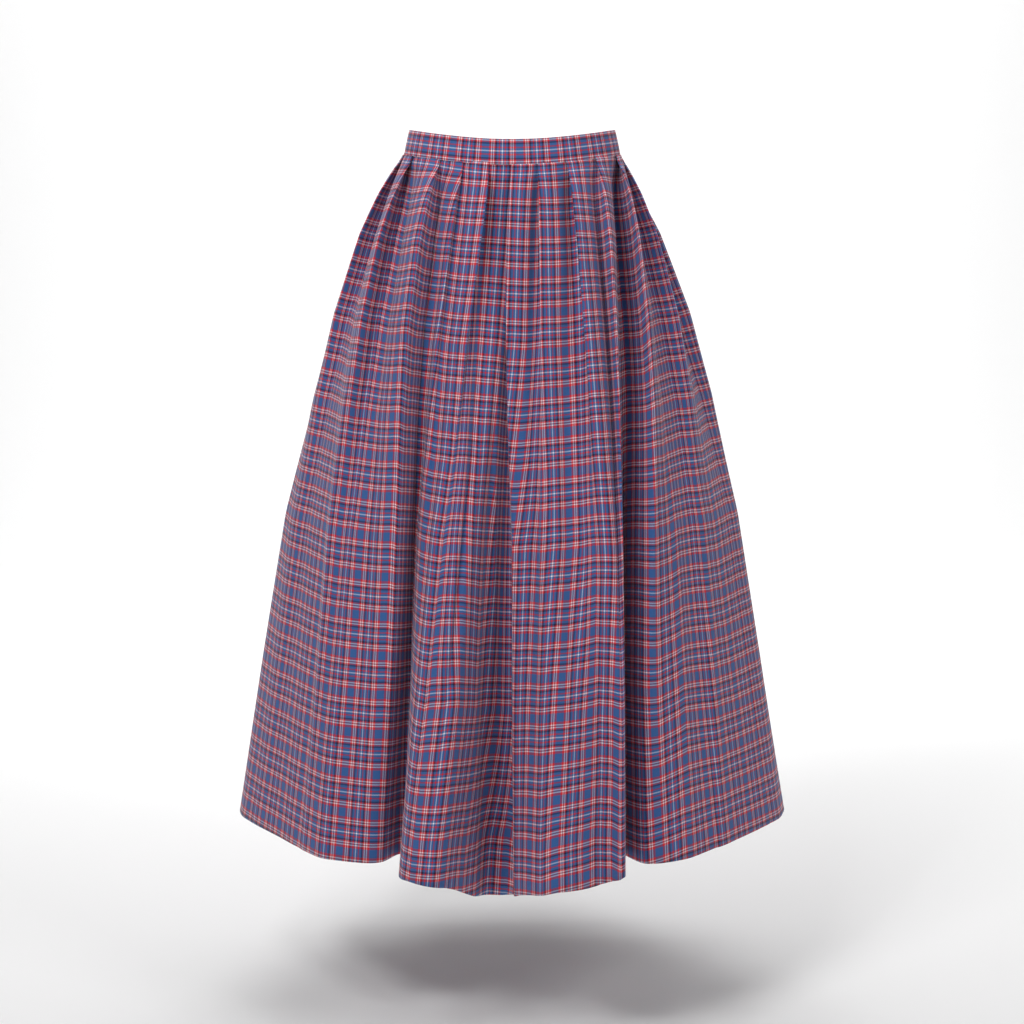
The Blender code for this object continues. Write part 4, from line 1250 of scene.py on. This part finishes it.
@dataclass
class Waistband:
    """One straight strip folded double, its ends meeting over the zip."""

    form: SkirtForm
    wall: float = 0.0026
    rounding: float = 0.0011
    steps: int = 260
    corner_steps: int = 5
    back_slit: float = 0.0010
    puff: float = 0.00025
    puff_at: tuple[float, ...] = (0.12, 0.3, 0.5, 0.7, 0.88)
    sways: tuple[tuple[float, float, float], ...] = ((0.00022, 47.0, 0.0), (0.00016, 83.0, 1.0))
    piece: Any = None

    def section(self) -> tuple[np.ndarray, np.ndarray]:
        """The strip's section: places out of it and down it, and how far round it each is."""
        half, depth, bend = self.wall / 2.0, self.form.band_height, self.rounding
        corners = (
            (half - bend, bend, -90.0), (half - bend, depth - bend, 0.0),
            (-half + bend, depth - bend, 90.0), (-half + bend, bend, 180.0),
        )
        points = []
        for index, (out, down, start) in enumerate(corners):
            for step in range(self.corner_steps + 1):
                turn = math.radians(start + 90.0 * step / self.corner_steps)
                points.append((out + bend * math.cos(turn), down + bend * math.sin(turn)))
            if index in (0, 2):
                towards = corners[(index + 1) % 4][1]
                side = 1.0 if index == 0 else -1.0
                for share in self.puff_at:
                    full = self.puff * math.sin(math.pi * share)
                    points.append((side * (half + full), down + (towards - down) * share))
        section = np.array(points)
        return section, lengths_round(section)[:-1]

    def build(self) -> None:
        """The strip, round the waist."""
        form = self.form
        section, round_it = self.section()
        reach = form.seam_length / 2.0 - self.back_slit
        places = np.linspace(-reach, reach, self.steps + 1)
        points, along = [], []
        for place in places:
            top, low, out = form.band_frame(float(place))
            down = (low - top) / form.band_height
            sway = sum(far * math.sin(place * often + start) for far, often, start in self.sways)
            points.append(top + section[:, 1:] * down + (section[:, :1] + sway) * out)
            along.append(np.full(len(section), place))
        grid = np.array(points)
        rows, columns, _ = grid.shape
        faces = [face[::-1] for face in grid_faces(rows, columns, closed=True).tolist()]
        last = (rows - 1) * columns
        faces += [list(range(columns)), list(range(last, last + columns))[::-1]]
        self.piece = new_piece("band", grid.reshape(-1, 3), faces)
        lay_cloth_map(self.piece, np.array(along), np.broadcast_to(round_it, (rows, columns)))
        select_only(self.piece)
        bpy.ops.object.mode_set(mode="EDIT")
        bpy.ops.mesh.select_all(action="SELECT")
        bpy.ops.mesh.normals_make_consistent(inside=False)
        bpy.ops.object.mode_set(mode="OBJECT")
        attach(self.piece, "skirt")
        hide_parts("waistband")
        log.info("band: %d faces", len(self.piece.data.polygons))

    def dress(self, material: Any) -> None:
        """Gives the band its cloth."""
        dress_piece(self.piece, material)


@dataclass
class Zip:
    """The concealed zip's coils, and better finishes on its tapes, slider and pull."""

    form: SkirtForm
    pitch: float = 0.0016
    coil_half_width: float = 0.0010
    coil_radius: float = 0.00028
    segments: tuple[int, int] = (14, 6)  # round a turn and round its wire
    coil_out: float = 0.0008
    coil_gap: float = 0.0002  # from a tape's edge to the middle of its coil
    coil_flat: float = 0.8
    coil_lean: float = 0.42
    skipped: tuple[int, int] = (14, 6)  # half turns that the slider and the foot leave no room for
    level: float = 0.0004  # points this close in height are on one level
    pieces: list[Any] = field(default_factory=list)

    def line(self, node: str) -> np.ndarray:
        """The inner face of a tape, from its top down: y and z at even steps."""
        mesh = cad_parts[node].data
        points = np.array([vertex.co for vertex in mesh.vertices])
        levels = np.unique(points[:, 2].round(4))[::-1]
        line = np.array([(points[np.abs(points[:, 2] - z) < self.level][:, 1].min(), z) for z in levels])
        along = lengths_along(line)
        return rows_at(np.arange(0.0, along[-1], self.pitch / 2.0), along, line)

    def edge(self, node: str, side: Way) -> float:
        """Where a tape's edge at the opening is, along x."""
        low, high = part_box(node)
        return low.x if side is Way.RIGHT else high.x

    def model_turn(self) -> Any:
        """One turn of the coil: a ring of wire, flattened and leant a little, as wound."""
        bpy.ops.object.select_all(action="DESELECT")
        bpy.ops.mesh.primitive_torus_add(major_segments=self.segments[0], minor_segments=self.segments[1],
                                         major_radius=self.coil_half_width, minor_radius=self.coil_radius)
        turn = bpy.context.view_layer.objects.active
        bpy.ops.object.mode_set(mode="EDIT")
        bpy.ops.mesh.select_all(action="SELECT")
        bpy.ops.transform.resize(value=(1.0, self.coil_flat, 1.0))
        bpy.ops.transform.rotate(value=self.coil_lean, orient_axis="X", center_override=(0.0, 0.0, 0.0))
        bpy.ops.object.mode_set(mode="OBJECT")
        return turn

    def build_coil(self, name: str, side: Way, node: str) -> None:
        """One coil: its turns, one below the other down a tape's edge."""
        line = self.line(node)[self.skipped[0]:-self.skipped[1]:2]
        middle = self.edge(node, side) + side.value * self.coil_gap
        places = [Matrix.Translation((middle, y - self.coil_out, z)) for y, z in line]
        piece = repeat_piece(name, self.model_turn(), places)
        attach(piece, "skirt")
        self.pieces.append(piece)

    def build(self) -> None:
        """Both coils."""
        self.build_coil("zip_coil_left", Way.LEFT, "zip_tape_left")
        self.build_coil("zip_coil_right", Way.RIGHT, "zip_tape_right")

    def dress(self, tape: Any, coil: Any, metal: Any) -> None:
        """Gives each part of the zip its finish."""
        for piece in self.pieces:
            dress_piece(piece, coil)
        for node in ("zip_tape_left", "zip_tape_right"):
            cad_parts[node].material_slots[0].material = tape
        for node in ("zip_slider", "zip_pull"):
            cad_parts[node].material_slots[0].material = metal


@dataclass
class Stitches:
    """The sewing that shows from close by: the hem's blind stitches, inside, and the zip's two rows."""

    panels: Panels
    fastening: Zip
    thread_radius: float = 0.00022
    sides: int = 6
    facing: float = 0.9  # a face that points this much along the thread is one of its ends
    hem_length: float = 0.0042
    hem_spacing: float = 0.0105
    zip_length: float = 0.0021
    zip_spacing: float = 0.0027
    zip_reach: float = 0.0062
    zip_ends: float = 0.004  # how far from the tape's ends its row starts and stops
    shaft: float = 0.7  # the straight share of a stitch
    end: float = 0.15  # the share that each end takes
    dive: float = 1.6  # how far its ends dive, in radii
    taper: float = 0.6
    slants: tuple[float, float] = (0.6, 0.9)  # how steeply even and odd hem stitches rise
    hem_out: float = 0.00045
    ahead: float = 0.001  # how far on the way of a row is taken
    pieces: list[Any] = field(default_factory=list)

    def model_stitch(self, length: float) -> Any:
        """One stitch along x: a short piece of thread that dives into the cloth at both ends."""
        radius = self.thread_radius
        bpy.ops.object.select_all(action="DESELECT")
        bpy.ops.mesh.primitive_cylinder_add(vertices=self.sides, radius=radius, depth=length * self.shaft,
                                            rotation=(0.0, math.pi / 2.0, 0.0))
        bpy.ops.object.transform_apply(location=True, rotation=True, scale=True)
        stitch = bpy.context.view_layer.objects.active
        for way in (-1.0, 1.0):
            bpy.ops.object.mode_set(mode="EDIT")
            bpy.ops.mesh.select_mode(type="FACE")
            bpy.ops.mesh.select_all(action="DESELECT")
            bpy.ops.object.mode_set(mode="OBJECT")
            for face in stitch.data.polygons:
                face.select = face.normal.x * way > self.facing
            bpy.ops.object.mode_set(mode="EDIT")
            bpy.ops.mesh.extrude_region_move(
                TRANSFORM_OT_translate={"value": (way * length * self.end, 0.0, -radius * self.dive)})
            bpy.ops.transform.resize(value=(self.taper, self.taper, self.taper))
            bpy.ops.object.mode_set(mode="OBJECT")
        return stitch

    def placed(self, point: np.ndarray, along: np.ndarray, out: np.ndarray) -> Matrix:
        """A stitch's place: its length along one direction, its back towards another."""
        run = Vector(along).normalized()
        up = (Vector(out) - run * run.dot(Vector(out))).normalized()
        turn = Matrix((run, up.cross(run), up)).transposed().to_4x4()
        return Matrix.Translation(Vector(point)) @ turn

    def sew_hem(self) -> None:
        """Blind stitches all round, over the upper edge of the hem's turning."""
        rows, _ = self.panels.turned_up()
        ring = rows[-1]
        inside = -self.panels.outwards(ring)
        around = lengths_round(ring)[:-1]
        places = []
        for number, run in enumerate(np.arange(0.0, around[-1], self.hem_spacing)):
            point = rows_at(run, around, ring)
            out = rows_at(run, around, inside)
            ahead = rows_at(run + self.ahead, around, ring) - point
            slant = ahead / np.linalg.norm(ahead) + np.array([0.0, 0.0, self.slants[number % 2]])
            places.append(self.placed(point + out * self.hem_out, slant, out))
        piece = repeat_piece("hem_stitches", self.model_stitch(self.hem_length), places)
        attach(piece, "skirt")
        self.pieces.append(piece)

    def sew_zip(self) -> None:
        """A row down each tape, on the inside."""
        places = []
        for side, node in ((Way.LEFT, "zip_tape_left"), (Way.RIGHT, "zip_tape_right")):
            line = self.fastening.line(node)
            across = self.fastening.edge(node, side) + side.value * self.zip_reach
            along = lengths_along(line)
            for run in np.arange(self.zip_ends, along[-1] - self.zip_ends, self.zip_spacing):
                here = rows_at(run, along, line)
                after = rows_at(run + self.ahead, along, line)
                point = np.array([across, here[0] - self.thread_radius * 0.5, here[1]])
                course = np.array([0.0, *(after - here)])
                places.append(self.placed(point, course, np.array([0.0, -1.0, 0.0])))
        piece = repeat_piece("zip_stitches", self.model_stitch(self.zip_length), places)
        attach(piece, "skirt")
        self.pieces.append(piece)

    def build(self) -> None:
        """All the sewing."""
        self.sew_hem()
        self.sew_zip()

    def dress(self, thread: Any) -> None:
        """Gives the stitches their thread."""
        for piece in self.pieces:
            dress_piece(piece, thread)


class Lamp(NamedTuple):
    """One soft square light."""

    name: str
    place: tuple[float, float, float]
    aim: tuple[float, float, float]
    size: float
    power: float


LAMPS: tuple[Lamp, ...] = (
    Lamp("key_light", (-1.6, -2.0, 2.0), (0.0, 0.0, 2.0), 0.8, 50.0),
    Lamp("waist_light", (-0.6, -1.5, 1.3), (0.0, -0.1, 0.05), 0.5, 11.5),
    Lamp("fill_light", (2.2, -1.8, 1.7), (0.0, 0.0, 1.4), 1.0, 24.0),
    Lamp("floor_light", (0.0, 1.3, 2.6), (0.0, 1.5, -1.0), 2.6, 60.0),
    Lamp("back_light", (0.0, 1.2, 1.9), (0.0, 4.0, 0.6), 2.4, 60.0),
)


@dataclass(frozen=True)
class Studio:
    """A pale floor that sweeps up behind, soft lights, and the camera."""

    floor_height: float = -1.04
    camera_place: tuple[float, float, float] = (0.0, -2.60, 0.020)
    pitch: float = 9.973  # degrees that the camera looks down
    lens: float = 76.37
    sensor: float = 36.0
    half_width: float = 7.0  # of the floor
    nearest: float = -6.0  # where the floor starts, before the camera
    sweep_from: float = 2.6  # where it starts to rise
    sweep_radius: float = 1.4
    sweep_steps: int = 12
    wall_top: float = 5.0
    white: tuple[float, float, float] = (0.90, 0.90, 0.90)
    roughness: float = 0.9
    air: float = 0.20  # how strong the light from all round is
    seen_air: float = 0.80  # how pale the air behind the floor looks

    def build_floor(self) -> None:
        """The floor and its sweep."""
        radius = self.sweep_radius
        section = [(self.nearest, 0.0)]
        for step in range(self.sweep_steps + 1):
            turn = math.radians(90.0 * step / self.sweep_steps)
            section.append((self.sweep_from + radius * math.sin(turn), radius - radius * math.cos(turn)))
        section.append((self.sweep_from + radius, self.wall_top))
        sides = (-self.half_width, self.half_width)
        points = [(x, y, self.floor_height + z) for x in sides for y, z in section]
        floor = new_piece("studio_floor", np.array(points), grid_faces(2, len(section)))
        material, _, shader = new_material("studio_white", {"Roughness": self.roughness})
        shader["Base Color"].default_value = (*self.white, 1.0)
        floor.data.materials.append(material)

    def hang(self, lamp: Lamp) -> None:
        """Hangs a lamp and turns it to its aim."""
        light = bpy.data.lights.new(lamp.name, "AREA")
        light.size = lamp.size
        light.energy = lamp.power
        hung = bpy.data.objects.new(lamp.name, light)
        hung.location = lamp.place
        away = np.array(lamp.place) - np.array(lamp.aim)
        level = math.hypot(away[0], away[1])
        hung.rotation_euler = (math.atan2(level, away[2]), 0.0, math.atan2(away[0], -away[1]))
        bpy.context.scene.collection.objects.link(hung)

    def fill_air(self) -> None:
        """The light from all round, which looks paler than it is."""
        world = bpy.data.worlds.new("studio_air")
        world.use_nodes = True
        background = world.node_tree.nodes["Background"]
        background.inputs["Color"].default_value = (1.0, 1.0, 1.0, 1.0)
        table = NodeTable(world.node_tree)
        seen = table.add("ShaderNodeLightPath").outputs["Is Camera Ray"]
        strength = table.maths("MULTIPLY_ADD", seen, self.seen_air - self.air, self.air)
        table.join(strength, background.inputs["Strength"])
        bpy.context.scene.world = world

    def place_camera(self) -> None:
        """The camera, level across and looking down a little."""
        camera = bpy.data.cameras.new("camera")
        camera.lens = self.lens
        camera.sensor_width = self.sensor
        eye = bpy.data.objects.new("camera", camera)
        eye.location = self.camera_place
        eye.rotation_euler = (math.radians(90.0 - self.pitch), 0.0, 0.0)
        bpy.context.scene.collection.objects.link(eye)
        bpy.context.scene.camera = eye
        bpy.context.scene.view_settings.view_transform = "Standard"

    def build(self) -> None:
        """Floor, lamps, surroundings and camera."""
        self.build_floor()
        for lamp in LAMPS:
            self.hang(lamp)
        self.fill_air()
        self.place_camera()


def main() -> None:
    """Builds and dresses the skirt, then its studio."""
    logging.basicConfig(level=logging.INFO, format="%(name)s %(message)s")
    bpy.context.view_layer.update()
    form = SkirtForm()
    panels = Panels(form)
    panels.build()
    band = Waistband(form)
    band.build()
    fastening = Zip(form)
    fastening.build()
    sewing = Stitches(panels, fastening)
    sewing.build()
    cloth = CheckedCloth(Sett(), Weave())
    check = cloth.group()
    panels.dress(cloth.material("skirt_check", check, (cloth.warp_start, cloth.weft_start)))
    band.dress(cloth.material("band_check", check, cloth.band_starts))
    fastening.dress(TAPE_YARN.material("zip_tape"), COIL_NYLON.material("zip_coil"),
                    LacqueredMetal().material("lacquered_metal"))
    sewing.dress(SEWING_THREAD.material("sewing_thread"))
    Studio().build()


if __name__ == "__main__":
    main()
